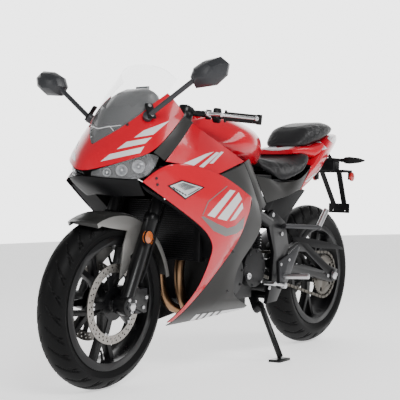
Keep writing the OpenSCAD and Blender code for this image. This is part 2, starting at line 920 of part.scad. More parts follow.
module side_fairings() {
    color("red")
        pair() {
            sheet(grid([for (r = facet_rows) r], 8, 10), panel_t);
            sheet(grid([for (r = side_rows) [for (i = [3 : -1 : 0]) r[i]]], 10, 18), panel_t);
        }
}

module lower_fairings() {
    color("dimgray")
        pair()
        sheet(grid([for (r = lower_rows) [for (i = [3 : -1 : 0]) r[i]]], 8, 20), panel_t);
}

// Covers of the frame between the tank and the side panels: front and rear edge
cover_rows = [
    [[802, 184, 791], [770, 176, 800], [735, 160, 808]],
    [[762, 186, 735], [725, 180, 735], [690, 166, 735]],
    [[717, 186, 664], [690, 184, 672], [662, 172, 684]],
    [[677, 184, 601], [656, 182, 616], [630, 176, 632]]];

module spar_covers() {
    color("dimgray")
        pair()
        sheet(grid([for (r = cover_rows) [for (i = [2 : -1 : 0]) r[i]]], 4, 12), panel_t);
}

// Diamond lamps that lie on the main side panel, raised towards the middle
module turn_lamps() {
    rows = [for (r = side_rows) [for (i = [3 : -1 : 0]) r[i]]];
    base = [for (i = [0 : 6]) [for (j = [0 : 6])
        let (a = i / 6 - 0.5, b = j / 6 - 0.5)
        at(rows, 0.70 + 0.17 * (b - a), 0.125 + 0.055 * (a + b))]];
    top = [for (i = [0 : 6]) [for (j = [0 : 6])
        let (e = (1 - pow(2 * i / 6 - 1, 2)) * (1 - pow(2 * j / 6 - 1, 2)))
        base[i][j] + (3 + 9 * e) * normal(base, i, j)]];
    color("white")
        pair()
        between(top, moved(base, 0.5));
}

// Tank, seats and tail

// Sections of the tank from the rear: x, then half width and height at four levels
tank_rows = [
    [512, 46, 800, 58, 826, 50, 852, 22, 862],
    [548, 70, 792, 92, 836, 86, 888, 40, 920],
    [620, 96, 790, 132, 840, 126, 902, 56, 948],
    [710, 120, 798, 166, 842, 160, 908, 70, 962],
    [800, 138, 806, 178, 852, 162, 914, 76, 966],
    [880, 142, 826, 162, 858, 128, 896, 72, 960],
    [930, 124, 842, 138, 862, 104, 890, 62, 944],
    [952, 104, 860, 112, 872, 90, 890, 50, 926]];

module fuel_tank() {
    n = 18;
    pts = [for (r = tank_rows) [for (k = [0 : 3]) [r[0], r[1 + 2 * k], r[2 + 2 * k]]]];
    half = [for (i = [0 : n]) [for (j = [0 : 9]) at(pts, j / 9, i / n)]];
    color("red")
        union() {
            loft([for (r = half) concat([for (p = r) p], [for (j = [9 : -1 : 0]) flip(r[j])])]);
            filler_ring();
        }
}

// Ring that the filler cap closes, with two hinge ears and their pin in front
module filler_ring() {
    translate(cap)
        union() {
            translate([0, 0, -44])
                cylinder(h = 44 - seat_gap, r = cap_r + 5);
            for (y = [-13, 13])
                translate([cap_r + 3, y - 4, -20])
                    cube([14, 8, 28]);
            rod([cap_hinge[0], -16, cap_hinge[1]], [cap_hinge[0], 16, cap_hinge[1]], 5);
        }
}

// Filler cap: a lid with a tongue around the hinge pin
module fuel_cap() {
    color("silver")
        translate(cap)
        difference() {
            union() {
                cylinder(h = 9, r = cap_r);
                translate([0, 0, 9])
                    cylinder(h = 3, r = cap_r - 9);
                translate([cap_r - 8, -8, 1])
                    cube([16, 16, 8]);
                barrel(cap_hinge[0], cap_hinge[1], -8, 8, 9);
            }
            barrel(cap_hinge[0], cap_hinge[1], -20, 20, 5 + 2 * seat_gap);
        }
}

// Sections of the rider's seat from the rear: x, half widths and heights low to high
rider_rows = [
    [214, 92, 812, 126, 824, 118, 854, 58, 868],
    [250, 104, 802, 144, 806, 138, 838, 66, 852],
    [310, 104, 790, 152, 766, 148, 806, 70, 826],
    [390, 92, 780, 148, 736, 142, 790, 66, 812],
    [460, 72, 774, 128, 724, 116, 786, 56, 812],
    [511.5, 50, 788, 70, 776, 64, 806, 36, 824]];

module rider_seat() {
    n = 14;
    pts = [for (r = rider_rows) [for (k = [0 : 3]) [r[0], r[1 + 2 * k], r[2 + 2 * k]]]];
    half = [for (i = [0 : n]) [for (j = [0 : 8]) at(pts, j / 8, i / n)]];
    color("black")
        loft([for (r = half) concat([for (p = r) p], [for (j = [8 : -1 : 0]) flip(r[j])])]);
}

// Sections of the pillion seat from the rear
pillion_rows = [
    [-100, 40, 964, 52, 970, 46, 980, 24, 984],
    [-70, 60, 957, 80, 966, 74, 984, 40, 994],
    [0, 80, 937, 104, 948, 98, 982, 54, 999],
    [100, 88, 906, 114, 918, 108, 966, 58, 986],
    [200, 84, 884, 106, 894, 100, 938, 54, 956],
    [270, 66, 880, 88, 886, 80, 906, 46, 918],
    [305, 40, 876, 52, 880, 46, 888, 28, 894]];

module pillion_seat() {
    n = 14;
    pts = [for (r = pillion_rows) [for (k = [0 : 3]) [r[0], r[1 + 2 * k], r[2 + 2 * k]]]];
    half = [for (i = [0 : n]) [for (j = [0 : 8]) at(pts, j / 8, i / n)]];
    color("black")
        loft([for (r = half) concat([for (p = r) p], [for (j = [8 : -1 : 0]) flip(r[j])])]);
}

// Tail from the seat to its end: lower edge, waist, shoulder, top, middle line
tail_rows = [
    [[312, 140, 694], [275, 143, 740], [236, 144, 788], [222, 70, 786], [220, 0, 784]],
    [[190, 118, 738], [168, 133, 790], [150, 138, 836], [140, 60, 856], [140, 0, 858]],
    [[60, 95, 795], [56, 117, 842], [60, 121, 892], [58, 60, 907], [58, 0, 909]],
    [[-50, 72, 860], [-50, 94, 898], [-40, 97, 936], [-42, 50, 944], [-42, 0, 945]],
    [[-130, 50, 905], [-138, 62, 930], [-128, 66, 953], [-126, 35, 958], [-126, 0, 959]],
    [[-156, 26, 932], [-164, 30, 941], [-160, 34, 951], [-158, 18, 955], [-158, 0, 956]]];

module tail_cowl() {
    color("red")
        sheet(grid([for (r = tail_rows) both_ends(r)], 16, 14), panel_t);
}

// Grey panels under the seat, from the frame covers back to the tail
seat_panel_rows = [
    [[688, 160, 742], [656, 166, 688], [622, 170, 638]],
    [[590, 158, 734], [545, 162, 694], [510, 160, 656]],
    [[470, 139, 720], [455, 152, 694], [432, 154, 668]],
    [[350, 156, 738], [356, 153, 714], [362, 150, 688]],
    [[238.2, 144, 789.7], [277.2, 143, 741.7], [314.2, 140, 695.7]]];

module seat_panels() {
    color("dimgray")
        pair()
        sheet(grid([for (r = seat_panel_rows) [for (i = [2 : -1 : 0]) r[i]]], 5, 16), panel_t);
}

// Black covers inside the frame plates, held by the frame's cross tube and bosses
module side_covers() {
    color("black")
        pair()
        difference() {
            plate([[244, 692], [330, 710], [450, 690], [560, 668], [612, 640], [600, 606], [545, 606],
                   [500, 500], [440, 480], [409, 515], [364, 598]], 122, 126);
            barrel(450, 545, 100, 140, 34 + 2 * seat_gap);
            barrel(474, 512, 100, 140, 40 + 2 * seat_gap);
            barrel(530, 585, 100, 140, 28 + 2 * seat_gap);
        }
}

// Flat tray under the rails that closes the tail from below
module under_tray() {
    slope = atan2(878 - 585, 530 + 60);
    color("black")
        translate([530, 0, 585])
        rotate([0, slope, 0])
        translate([0, 0, -12.5 - 3 - seat_gap])
        linear_extrude(height = 3)
        polygon([[-292, -118], [-292, 118], [-648, 66], [-648, -66]]);
}

module tail_lamp() {
    color("red")
        translate([-152, -34, 900])
        cube([26, 68, 22]);
}

// Box under the tail with two flat arms down to the bracket of the number plate
module plate_hanger() {
    color("black")
        difference() {
            union() {
                pair() {
                    rod([-60.4, 43.9, 878.2], [-74.9, 41.8, 884.8], 16);
                    translate([-74.9, 41.8, 884.8])
                        sphere(d = 18);
                    rod([-74.9, 41.8, 884.8], [-146, 45, 830], 16);
                    bar([-205, 46, 790], [-306, 28, 626], 24, 9);
                    signal_frame()
                        translate([0, 0, -30])
                        cylinder(h = 30 - seat_gap, d = 15);
                    translate([-250, reflector_y - 10, 748])
                        cube([24, 10, 40]);
                }
                translate([-188, -58, 790])
                    cube([62, 116, 58]);
                translate([-250, -reflector_y, 782])
                    cube([90, 2 * reflector_y, 12]);
                translate([-311, -54, 588])
                    cube([10, 108, 46]);
            }
            pair()
                translate([-320, 32, 600])
                rotate([0, 90, 0])
                cylinder(h = 30, d = plate_hole_d);
        }
}

// Pointed signals that slant out and back from the hanger
module rear_signals() {
    color("black")
        pair()
        signal_frame()
        rotate_extrude()
        polygon([[0, 0], [9, 0], [9, 12], [15, 20], [17, 40], [12, 84], [3, 112], [0, 112]]);
}

module side_reflectors() {
    color("red")
        pair()
        barrel(-238, 763, reflector_y + seat_gap, reflector_y + 9, 42);
}

// Rear end

module swing_arm() {
    side = [[508, 372], [490, 352], [250, 336], [rear_x + 10, 282], [rear_x - 48, 288],
            [rear_x - 56, 336], [rear_x + 36, 362], [220, 462], [296, 474], [450, 424], [508, 404]];
    window = [[rear_x + 70, 336], [240, 372], [392, 380], [296, 432], [236, 428]];
    color("black")
        difference() {
            union() {
                pair() {
                    plate(side, 106, 134);
                    barrel(rear_x - 10, rear_r, 134, 140, 52);
                }
                translate([398, -108, 346])
                    cube([40, 216, 54]);
                barrel(pivot[0], pivot[2], -108, 108, 40);
                barrel(pivot[0], pivot[2], -plate_y, plate_y, pivot_d);
                translate([412, -22, 386])
                    cube([50, 44, 40]);
            }
            pair()
                plate(window, 100, 140);
            barrel(rear_x, rear_r, -200, 200, rear_axle_d + 2 * seat_gap);
            pair()
                barrel(rear_x + 60, 326, 114, 150, spool_d);
        }
}

module rear_axle() {
    color("silver")
        union() {
            barrel(rear_x, rear_r, -152, 152, rear_axle_d);
            for (s = [-1, 1])
                barrel(rear_x, rear_r, s * 146 - 6 + s * seat_gap, s * 146 + 6 + s * seat_gap, 34);
            barrel(rear_x, rear_r, 105 - 11, 105, 30);
            barrel(rear_x, rear_r, -105, -82, 30);
        }
}

module rear_shock() {
    color("gold")
        union() {
            rod([450, 0, 426 + seat_gap], [450, 0, 446], 24);
            rod([450, 0, 446], [450, 0, 514], 62);
            rod([450, 0, 514], [450, 0, 528 - seat_gap], 24);
        }
}

// One closed loop around both sprockets
module chain() {
    r1 = sprocket_d / 2 + 2;
    r2 = drive_r;
    dx = drive[0] - rear_x;
    dz = drive[1] - rear_r;
    d = norm([dx, dz]);
    slope = atan2(dz, dx);
    wrap = acos((r1 - r2) / d);
    // Arc around the rear sprocket, then around the front one, at distance o from the teeth
    function loop(o) = concat(
        [for (i = [0 : 24]) let (a = slope + wrap + (360 - 2 * wrap) * i / 24)
            [rear_x + (r1 + o) * cos(a), rear_r + (r1 + o) * sin(a)]],
        [for (i = [0 : 12]) let (a = slope - wrap + 2 * wrap * i / 12)
            [drive[0] + (r2 + o) * cos(a), drive[1] + (r2 + o) * sin(a)]]);
    color("dimgray")
        difference() {
            plate(loop(chain_h), chain_y - chain_w / 2, chain_y + chain_w / 2);
            plate(loop(0), chain_y - chain_w, chain_y + chain_w);
        }
}

// Guard over the upper run, on the swing arm
module chain_guard() {
    color("black")
        translate([rear_x, 0, 0])
        plate([[300, 462], [222, 452], [60, 434], [-120, 424], [-160, 420], [-150, 432], [-60, 452],
               [120, 478], [230, 490], [300, 492]], 102 - seat_gap, 106 - seat_gap);
}

// Plates with a heel guard, and the rider's pegs
module peg_brackets() {
    color("silver")
        pair()
        union() {
            plate([[500, 400], [488, 288], [448, 288], [372, 400], [336, 452], [352, 462], [420, 428]],
                  plate_y + seat_gap, plate_y + 8);
            rod([peg[0], plate_y + 4, peg[2]], [peg[0] - 4, 276, peg[2] + 8], 22);
        }
}

// Stays on the rear frame, with the passenger pegs folded up
module passenger_pegs() {
    color("silver")
        pair()
        union() {
            rod([474, plate_y + 10.5, 545], [206, 174, 534], 20);
            rod([206, 174, 534], [168, 192, 612], 24);
            translate([206, 174, 534])
                sphere(d = 28);
        }
}

// Gear lever on the left, brake pedal on the right
module foot_levers() {
    color("silver") {
        union() {
            barrel(468, 302, plate_y + 8 + seat_gap, plate_y + 22, 24);
            rod([470, 171, 303], [601, 171, 321], 12);
            barrel(606, 321.5, 164.5, 214, 17);
        }
        mirror([0, 1, 0])
            union() {
                barrel(468, 302, plate_y + 8 + seat_gap, plate_y + 22, 26);
                rod([470, 171, 303], [592, 171, 321], 12);
                barrel(598, 321.5, 164.5, 214, 20);
            }
    }
}

// Mirrors on stems from the nose
module mirrors() {
    ring = [[-0.7, -0.8], [0.3, -1], [0.9, -0.5], [1, 0.3], [0.6, 0.9], [-0.2, 1], [-0.8, 0.7], [-1, 0]];
    stations = [[1262, 68, 42], [1280, 74, 46], [1304, 58, 36], [1318, 34, 19]];
    foot = at(nose_rows, 0.22, 0.66);
    out = unit(cross(at(nose_rows, 0.24, 0.66) - at(nose_rows, 0.2, 0.66),
                     at(nose_rows, 0.22, 0.68) - at(nose_rows, 0.22, 0.64)));
    color("black")
        pair()
        union() {
            loft([for (s = stations)
                [for (p = ring) [s[0], 361 + p[0] * s[1], 1060 + p[1] * s[2] + 0.2 * p[0] * s[1]]]]);
            rod(foot + 0.5 * out, foot + 16 * out, 34);
            rod(foot + 8 * out, [1287, 316, 1046], 17);
        }
}

module rear_caliper() {
    color("dimgray")
        difference() {
            translate([rear_x + 30, -106 + seat_gap, rear_r + 62])
                cube([80, rear_disc_y + 20 + 106 - seat_gap, 54]);
            translate([rear_x + 20, rear_disc_y - disc_t / 2 - run_gap, rear_r])
                cube([100, disc_t + 2 * run_gap, 112]);
        }
}

// Stand with its foot flat on the ground, leaning outwards
module side_stand() {
    color("black")
        difference() {
            union() {
                stand_frame() {
                    barrel(0, 0, 0, 16, 40);
                    rod([0, 13.5, -16], [stand_foot[0] - stand_pivot[0], 0, 14 - stand_len], stand_leg_d);
                }
                translate(stand_foot)
                    rotate([lean, 0, 0])
                    translate([-18, -24, -lift])
                    cube([78, 52, 10]);
            }
            stand_frame()
                barrel(0, 0, -20, 40, stand_pin_d + 2 * seat_gap);
        }
}

leaned() main_frame();
leaned() subframe();
leaned() engine();
leaned() radiator();
leaned() exhaust();
leaned() muffler();
leaned() nose_cowl();
leaned() windscreen();
leaned() dash();
leaned() headlamps();
leaned() nose_trims();
leaned() inner_cowl();
leaned() side_fairings();
leaned() lower_fairings();
leaned() spar_covers();
leaned() turn_lamps();
leaned() fuel_tank();
leaned() rider_seat();
leaned() pillion_seat();
leaned() tail_cowl();
leaned() seat_panels();
leaned() side_covers();
leaned() under_tray();
leaned() tail_lamp();
leaned() plate_hanger();
leaned() rear_signals();
leaned() side_reflectors();
leaned() swing_arm();
leaned() rear_axle();
leaned() rear_shock();
leaned() chain();
leaned() chain_guard();
leaned() peg_brackets();
leaned() passenger_pegs();
leaned() foot_levers();
leaned() mirrors();
leaned() rear_caliper();
leaned() triple_clamps();
leaned() fork_tubes();
leaned() fork_sliders();
leaned() handlebars();
leaned() grips();
leaned() hand_levers();
leaned() brake_hoses();
leaned() front_fender();
leaned() front_calipers();
leaned() front_axle();
leaned() fork_reflectors();
leaned() steered() front_tyre();
leaned() steered() front_rim();
leaned() steered() front_discs();
leaned() rear_tyre();
leaned() rear_rim();
leaned() rear_disc();
leaned() rear_sprocket();
leaned() side_stand();
leaned() fuel_cap();
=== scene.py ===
"""Sport motorcycle: the finishes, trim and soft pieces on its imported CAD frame."""

from __future__ import annotations

import json
import logging
import math
from contextlib import contextmanager
from dataclasses import dataclass, field
from enum import Enum
from typing import Any, Callable, Iterable, Iterator, Sequence

import bmesh
import bpy
import numpy as np
from mathutils import Matrix, Vector
from mathutils.bvhtree import BVHTree

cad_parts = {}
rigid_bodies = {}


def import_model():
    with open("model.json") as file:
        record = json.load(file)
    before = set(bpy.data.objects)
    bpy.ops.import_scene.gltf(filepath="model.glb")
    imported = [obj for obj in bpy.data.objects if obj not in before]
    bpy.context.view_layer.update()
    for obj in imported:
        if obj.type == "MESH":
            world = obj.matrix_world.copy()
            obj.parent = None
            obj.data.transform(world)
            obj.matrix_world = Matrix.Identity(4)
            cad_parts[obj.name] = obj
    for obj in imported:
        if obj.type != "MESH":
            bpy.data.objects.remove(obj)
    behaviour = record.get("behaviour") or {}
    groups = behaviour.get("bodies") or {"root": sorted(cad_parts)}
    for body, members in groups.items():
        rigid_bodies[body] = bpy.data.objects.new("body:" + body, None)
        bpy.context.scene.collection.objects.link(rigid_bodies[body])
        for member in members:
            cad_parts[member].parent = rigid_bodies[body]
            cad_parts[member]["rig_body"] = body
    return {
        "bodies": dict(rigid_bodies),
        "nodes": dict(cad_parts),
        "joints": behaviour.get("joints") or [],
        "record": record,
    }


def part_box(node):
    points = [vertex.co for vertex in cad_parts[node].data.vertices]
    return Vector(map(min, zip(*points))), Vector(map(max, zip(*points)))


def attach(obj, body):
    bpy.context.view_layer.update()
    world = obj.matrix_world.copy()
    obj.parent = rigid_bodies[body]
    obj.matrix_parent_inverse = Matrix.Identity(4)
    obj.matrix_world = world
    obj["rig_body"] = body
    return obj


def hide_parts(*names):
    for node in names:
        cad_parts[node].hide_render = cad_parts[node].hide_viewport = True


log = logging.getLogger("sport_bike")

Point = tuple[float, float, float]
Colour = tuple[float, float, float]
# A place and the direction in which a piece stands on it
Spot = tuple[Sequence[float], Sequence[float]]
MM = 0.001


# Stance and camera


@dataclass(frozen=True)
class Stance:
    """How the parked bike stands, in the CAD source's own millimetres and degrees."""

    wheelbase: float = 1365.0
    rake: float = 24.5
    trail: float = 95.0
    lean: float = 4.0
    steer_rest: float = 3.0
    front_r: float = 293.0
    rear_r: float = 313.0
    origin: tuple[float, float] = (672.0, 76.0)
    lift: float = 0.17

    @property
    def upright_to_row(self) -> Matrix:
        """Matrix from the upright bike in millimetres to the row frame in metres."""
        shift = Matrix.Translation((-self.origin[0], -self.origin[1], self.lift))
        return Matrix.Scale(MM, 4) @ shift @ Matrix.Rotation(-math.radians(self.lean), 4, "X")

    @property
    def steered_to_row(self) -> Matrix:
        """Matrix for pieces on the fork, drawn with the wheel straight ahead."""
        rake = math.radians(self.rake)
        foot = Matrix.Translation((self.wheelbase + self.trail, 0.0, 0.0))
        turn = Matrix.Rotation(
            math.radians(self.steer_rest), 4, Vector((-math.sin(rake), 0.0, math.cos(rake)))
        )
        return self.upright_to_row @ foot @ turn @ foot.inverted()

    @property
    def front_wheel_to_row(self) -> Matrix:
        """Matrix for pieces drawn around the front axle, which lies along Y."""
        return self.steered_to_row @ Matrix.Translation((self.wheelbase, 0.0, self.front_r))

    @property
    def rear_wheel_to_row(self) -> Matrix:
        """Matrix for pieces drawn around the rear axle, which lies along Y."""
        return self.upright_to_row @ Matrix.Translation((0.0, 0.0, self.rear_r))

    @property
    def fork_to_row(self) -> Matrix:
        """Matrix for pieces drawn from the front axle with Z along the fork."""
        tilt = Matrix.Rotation(-math.radians(self.rake), 4, "Y")
        return self.front_wheel_to_row @ tilt


STANCE = Stance()
UPRIGHT = STANCE.upright_to_row
TO_UPRIGHT = UPRIGHT.inverted()
MIRROR_OVER = UPRIGHT @ Matrix.Scale(-1, 4, (0, 1, 0)) @ TO_UPRIGHT


@dataclass(frozen=True)
class PhotoCamera:
    """The camera that the two tyres' outlines give for a square picture."""

    place: Point = (3609.2, 2120.8, 540.5)
    forward: Point = (-0.801, -0.598, 0.0293)
    roll: float = -1.69
    focal_px: float = 897.8
    picture_px: float = 400.0
    sensor_mm: float = 36.0
    reach: float = 60.0

    @property
    def eye(self) -> Vector:
        """Place of the camera in the row frame, in metres."""
        return (Vector(self.place) - Vector((*STANCE.origin, 0.0))) * MM

    @property
    def axes(self) -> tuple[Vector, Vector, Vector]:
        """Directions to the right, up and ahead in the row frame."""
        ahead = Vector(self.forward).normalized()
        right = ahead.cross(Vector((0, 0, 1))).normalized()
        up = right.cross(ahead)
        cos, sin = math.cos(math.radians(self.roll)), math.sin(math.radians(self.roll))
        return cos * right + sin * up, cos * up - sin * right, ahead

    def ray(self, x: float, y: float) -> Vector:
        """Finds the direction in which the camera sees a pixel of the photograph.

        Args:
            x: Pixels from the left.
            y: Pixels from the top.

        Returns:
            The direction in the row frame.
        """
        right, up, ahead = self.axes
        middle = self.picture_px / 2
        return (ahead * self.focal_px + right * (x - middle) - up * (y - middle)).normalized()

    def build(self) -> None:
        """Adds the camera and makes it the scene's own."""
        right, up, ahead = self.axes
        data = bpy.data.cameras.new("photo_camera")
        data.sensor_width = self.sensor_mm
        data.lens = self.focal_px / self.picture_px * self.sensor_mm
        data.clip_end = self.reach
        camera = bpy.data.objects.new("photo_camera", data)
        turn = Matrix((right, up, -ahead)).transposed().to_4x4()
        camera.matrix_world = Matrix.Translation(self.eye) @ turn
        bpy.context.scene.collection.objects.link(camera)
        bpy.context.scene.camera = camera


PHOTO = PhotoCamera()


# Finishes


class Grain(Enum):
    """Surface structure of a finish."""

    PAINT = "paint"
    MOULDED = "moulded"
    CAST = "cast"
    BRUSHED = "brushed"
    RUBBER = "rubber"
    VINYL = "vinyl"
    LENS = "lens"


# What every finish has in common
COAT_ROUGHNESS = 0.04
BUMP_STRENGTH = 0.6
BRUSH_STRETCH = (0.06, 1.0, 0.35)
CLOUD_SCALE, CLOUD_DETAIL = 9.0, 3.0

# Scale per metre, detail, bump height in metres, and spread of the roughness, for each structure
GRAINS: dict[Grain, tuple[float, float, float, float]] = {
    Grain.PAINT: (260.0, 2.0, 0.00002, 0.03),
    Grain.MOULDED: (1100.0, 3.0, 0.00008, 0.10),
    Grain.CAST: (700.0, 4.0, 0.00010, 0.14),
    Grain.BRUSHED: (900.0, 3.0, 0.00004, 0.12),
    Grain.RUBBER: (420.0, 5.0, 0.00012, 0.14),
    Grain.VINYL: (520.0, 2.0, 0.00022, 0.08),
    Grain.LENS: (60.0, 1.0, 0.00002, 0.01),
}


@dataclass(frozen=True)
class Finish:
    """One procedural material.

    Args:
        name: Name of the material.
        slot: The record's slot for pieces with this finish; not used.
        colour: Linear base colour.
        roughness: Mean roughness.
        grain: Surface structure.
        metallic: Share of metal.
        coat: Clear coat over the colour.
        shade: How much darker the colour gets in its faint clouds.
        cover: How much of what lies behind it is hidden, below 1 on a clear sheet.
        glow: Strength of its own light.
        shine: Level of its mirror reflection, 0.5 for plain plastic.
    """

    name: str
    slot: str
    colour: Colour
    roughness: float
    grain: Grain
    metallic: float = 0.0
    coat: float = 0.0
    shade: float = 0.12
    cover: float = 1.0
    glow: float = 0.0
    shine: float = 0.5

    def material(self) -> bpy.types.Material:
        """Returns this finish's material, made on first use."""
        found = bpy.data.materials.get(self.name)
        return found or self._make()

    def _make(self) -> bpy.types.Material:
        """Builds the node tree.

        Returns:
            The new material.
        """
        scale, detail, height, spread = GRAINS[self.grain]
        material = bpy.data.materials.new(self.name)
        material.use_nodes = True
        nodes, links = material.node_tree.nodes, material.node_tree.links
        shader = nodes["Principled BSDF"]
        shader.inputs["Metallic"].default_value = self.metallic
        shader.inputs["Specular IOR Level"].default_value = self.shine
        shader.inputs["Coat Weight"].default_value = self.coat
        shader.inputs["Coat Roughness"].default_value = COAT_ROUGHNESS
        shader.inputs["Alpha"].default_value = self.cover
        if self.glow:
            shader.inputs["Emission Color"].default_value = (*self.colour, 1.0)
            shader.inputs["Emission Strength"].default_value = self.glow
        where = nodes.new("ShaderNodeTexCoord")
        if self.grain is Grain.VINYL:
            pores = nodes.new("ShaderNodeTexVoronoi")
            pores.feature = "DISTANCE_TO_EDGE"
            pores.inputs["Scale"].default_value = scale
            links.new(where.outputs["Object"], pores.inputs["Vector"])
            fine = pores.outputs["Distance"]
        else:
            stretch = nodes.new("ShaderNodeMapping")
            links.new(where.outputs["Object"], stretch.inputs["Vector"])
            if self.grain is Grain.BRUSHED:
                stretch.inputs["Scale"].default_value = BRUSH_STRETCH
            fine = self._noise(nodes, links, stretch.outputs["Vector"], scale, detail)
        clouds = self._noise(nodes, links, where.outputs["Object"], CLOUD_SCALE, CLOUD_DETAIL)
        bump = nodes.new("ShaderNodeBump")
        bump.inputs["Strength"].default_value = BUMP_STRENGTH
        bump.inputs["Distance"].default_value = height
        links.new(fine, bump.inputs["Height"])
        links.new(bump.outputs["Normal"], shader.inputs["Normal"])
        rough = nodes.new("ShaderNodeMapRange")
        rough.inputs["To Min"].default_value = max(0.0, self.roughness - spread)
        rough.inputs["To Max"].default_value = min(1.0, self.roughness + spread)
        links.new(clouds, rough.inputs["Value"])
        links.new(rough.outputs["Result"], shader.inputs["Roughness"])
        tone = nodes.new("ShaderNodeMix")
        tone.data_type = "RGBA"
        tone.inputs["A"].default_value = (*self.colour, 1.0)
        tone.inputs["B"].default_value = (*(c * (1.0 - self.shade) for c in self.colour), 1.0)
        links.new(clouds, tone.inputs["Factor"])
        links.new(tone.outputs["Result"], shader.inputs["Base Color"])
        return material

    @staticmethod
    def _noise(nodes: Any, links: Any, vector: Any, scale: float, detail: float) -> Any:
        """Adds a noise texture.

        Args:
            nodes: The tree's nodes.
            links: The tree's links.
            vector: Socket with the coordinates.
            scale: Cells per metre.
            detail: Octaves.

        Returns:
            Its grey output.
        """
        noise = nodes.new("ShaderNodeTexNoise")
        noise.inputs["Scale"].default_value = scale
        noise.inputs["Detail"].default_value = detail
        links.new(vector, noise.inputs["Vector"])
        return noise.outputs["Fac"]


RED = Finish(
    "gloss_red_paint", "red_paint", (0.50, 0.0004, 0.014),
    0.20, Grain.PAINT, coat=0.32, shade=0.06, shine=0.22,
)
CHARCOAL = Finish(
    "satin_charcoal", "grey_paint", (0.020, 0.0195, 0.0185),
    0.40, Grain.PAINT, 0.1, 0.04, shine=0.22,
)
BLACK_PLASTIC = Finish(
    "grained_black_plastic", "black_plastic", (0.0035, 0.0035, 0.004),
    0.5, Grain.MOULDED, shine=0.15,
)
GLOSS_BLACK = Finish(
    "gloss_black_plastic", "black_plastic", (0.004, 0.004, 0.0045),
    0.2, Grain.PAINT, coat=0.15, shine=0.3,
)
DARK_PLASTIC = Finish(
    "smooth_dark_plastic", "dark_plastic", (0.014, 0.015, 0.016),
    0.34, Grain.MOULDED, shine=0.3,
)
MIRROR_SHELL = Finish(
    "mirror_shell", "black_plastic", (0.022, 0.023, 0.026),
    0.38, Grain.MOULDED, shine=0.35,
)
BLACK_METAL = Finish(
    "satin_black_metal", "black_metal", (0.0035, 0.0035, 0.004),
    0.34, Grain.CAST, 0.0, 0.05, shine=0.25,
)
ENGINE_BLACK = Finish(
    "cast_black_engine", "black_metal", (0.005, 0.005, 0.0055),
    0.44, Grain.CAST, 0.0, shine=0.28,
)
DARK_METAL = Finish(
    "dark_grey_metal", "dark_metal", (0.045, 0.045, 0.048),
    0.4, Grain.CAST, 0.6, shine=0.35,
)
BRIGHT = Finish("brushed_aluminium", "bright_metal", (0.55, 0.55, 0.56), 0.3, Grain.BRUSHED, 1.0)
CHROME = Finish(
    "lamp_reflector", "bright_metal", (0.62, 0.63, 0.65),
    0.14, Grain.LENS, 1.0, shade=0.3,
)
DISC_STEEL = Finish(
    "ground_disc_steel", "disc_steel", (0.30, 0.285, 0.265),
    0.36, Grain.BRUSHED, 1.0,
)
CHAIN_STEEL = Finish("oiled_chain_steel", "chain_steel", (0.13, 0.12, 0.105), 0.38, Grain.CAST, 1.0)
HEADER = Finish(
    "heat_tinted_pipe", "header_pipe", (0.30, 0.18, 0.10),
    0.33, Grain.BRUSHED, 1.0, shade=0.5,
)
TYRE = Finish("tyre_rubber", "tyre", (0.003, 0.003, 0.0032), 0.5, Grain.RUBBER, shine=0.11)
GRIP = Finish(
    "ribbed_grip_rubber", "grip_rubber", (0.006, 0.006, 0.006),
    0.6, Grain.RUBBER, shine=0.2,
)
VINYL = Finish(
    "grained_seat_vinyl", "seat_vinyl", (0.010, 0.010, 0.011),
    0.44, Grain.VINYL, shine=0.3,
)
THREAD = Finish("seat_thread", "seat_vinyl", (0.04, 0.04, 0.042), 0.7, Grain.RUBBER, shine=0.2)
SCREEN = Finish(
    "clear_screen_sheet", "clear_screen", (0.70, 0.71, 0.72),
    0.05, Grain.LENS, coat=0.3, shade=0.05, cover=0.07,
)
SCREEN_EDGE = Finish(
    "screen_cut_edge", "clear_screen", (0.42, 0.43, 0.44),
    0.2, Grain.LENS, cover=0.6,
)
LENS = Finish(
    "clear_lamp_lens", "lamp_lens", (0.75, 0.76, 0.77),
    0.06, Grain.LENS, shade=0.05, cover=0.05,
)
WHITE_LENS = Finish(
    "ribbed_white_lens", "lamp_lens", (0.66, 0.67, 0.68),
    0.14, Grain.LENS, 0.3, 0.6, 0.3,
)
RED_LENS = Finish("red_lens_plastic", "red_lens", (0.4, 0.006, 0.006), 0.14, Grain.LENS, coat=0.6)
AMBER = Finish("amber_lens_plastic", "amber_lens", (0.46, 0.10, 0.008), 0.24, Grain.LENS, coat=0.3)
SILVER = Finish("silver_decal", "grey_paint", (0.62, 0.62, 0.63), 0.34, Grain.PAINT, 0.1, 0.2, 0.04)
GREY_LINE = Finish("grey_decal", "grey_paint", (0.13, 0.125, 0.12), 0.4, Grain.PAINT, 0.1, 0.1)
LEG_SILVER = Finish(
    "satin_silver_plastic", "grey_paint", (0.24, 0.235, 0.225),
    0.4, Grain.PAINT, 0.5, 0.1,
)
LAMP_INSIDE = Finish(
    "lamp_housing", "bright_metal", (0.20, 0.20, 0.21),
    0.26, Grain.LENS, 1.0, shade=0.4,
)
GLASS = Finish(
    "mirror_glass", "bright_metal", (0.82, 0.84, 0.86),
    0.03, Grain.LENS, 1.0, shade=0.02,
)
DISPLAY = Finish("dark_display", "dark_plastic", (0.012, 0.016, 0.020), 0.08, Grain.LENS, coat=0.5)


# Mesh tools

MERGE_GAP = 1e-6


class Skin(Enum):
    """How a CAD node's copy is finished."""

    PANEL = "panel"
    SOLID = "solid"


def row(point: Sequence[float]) -> Vector:
    """Returns a point of the upright bike, in millimetres, in the row frame."""
    return UPRIGHT @ Vector(point)


def link_mesh(name: str, mesh: bpy.types.Mesh) -> bpy.types.Object:
    """Links a mesh to the scene as a new object at the origin.

    Args:
        name: Name of the object.
        mesh: The mesh.

    Returns:
        The object.
    """
    obj = bpy.data.objects.new(name, mesh)
    bpy.context.scene.collection.objects.link(obj)
    return obj


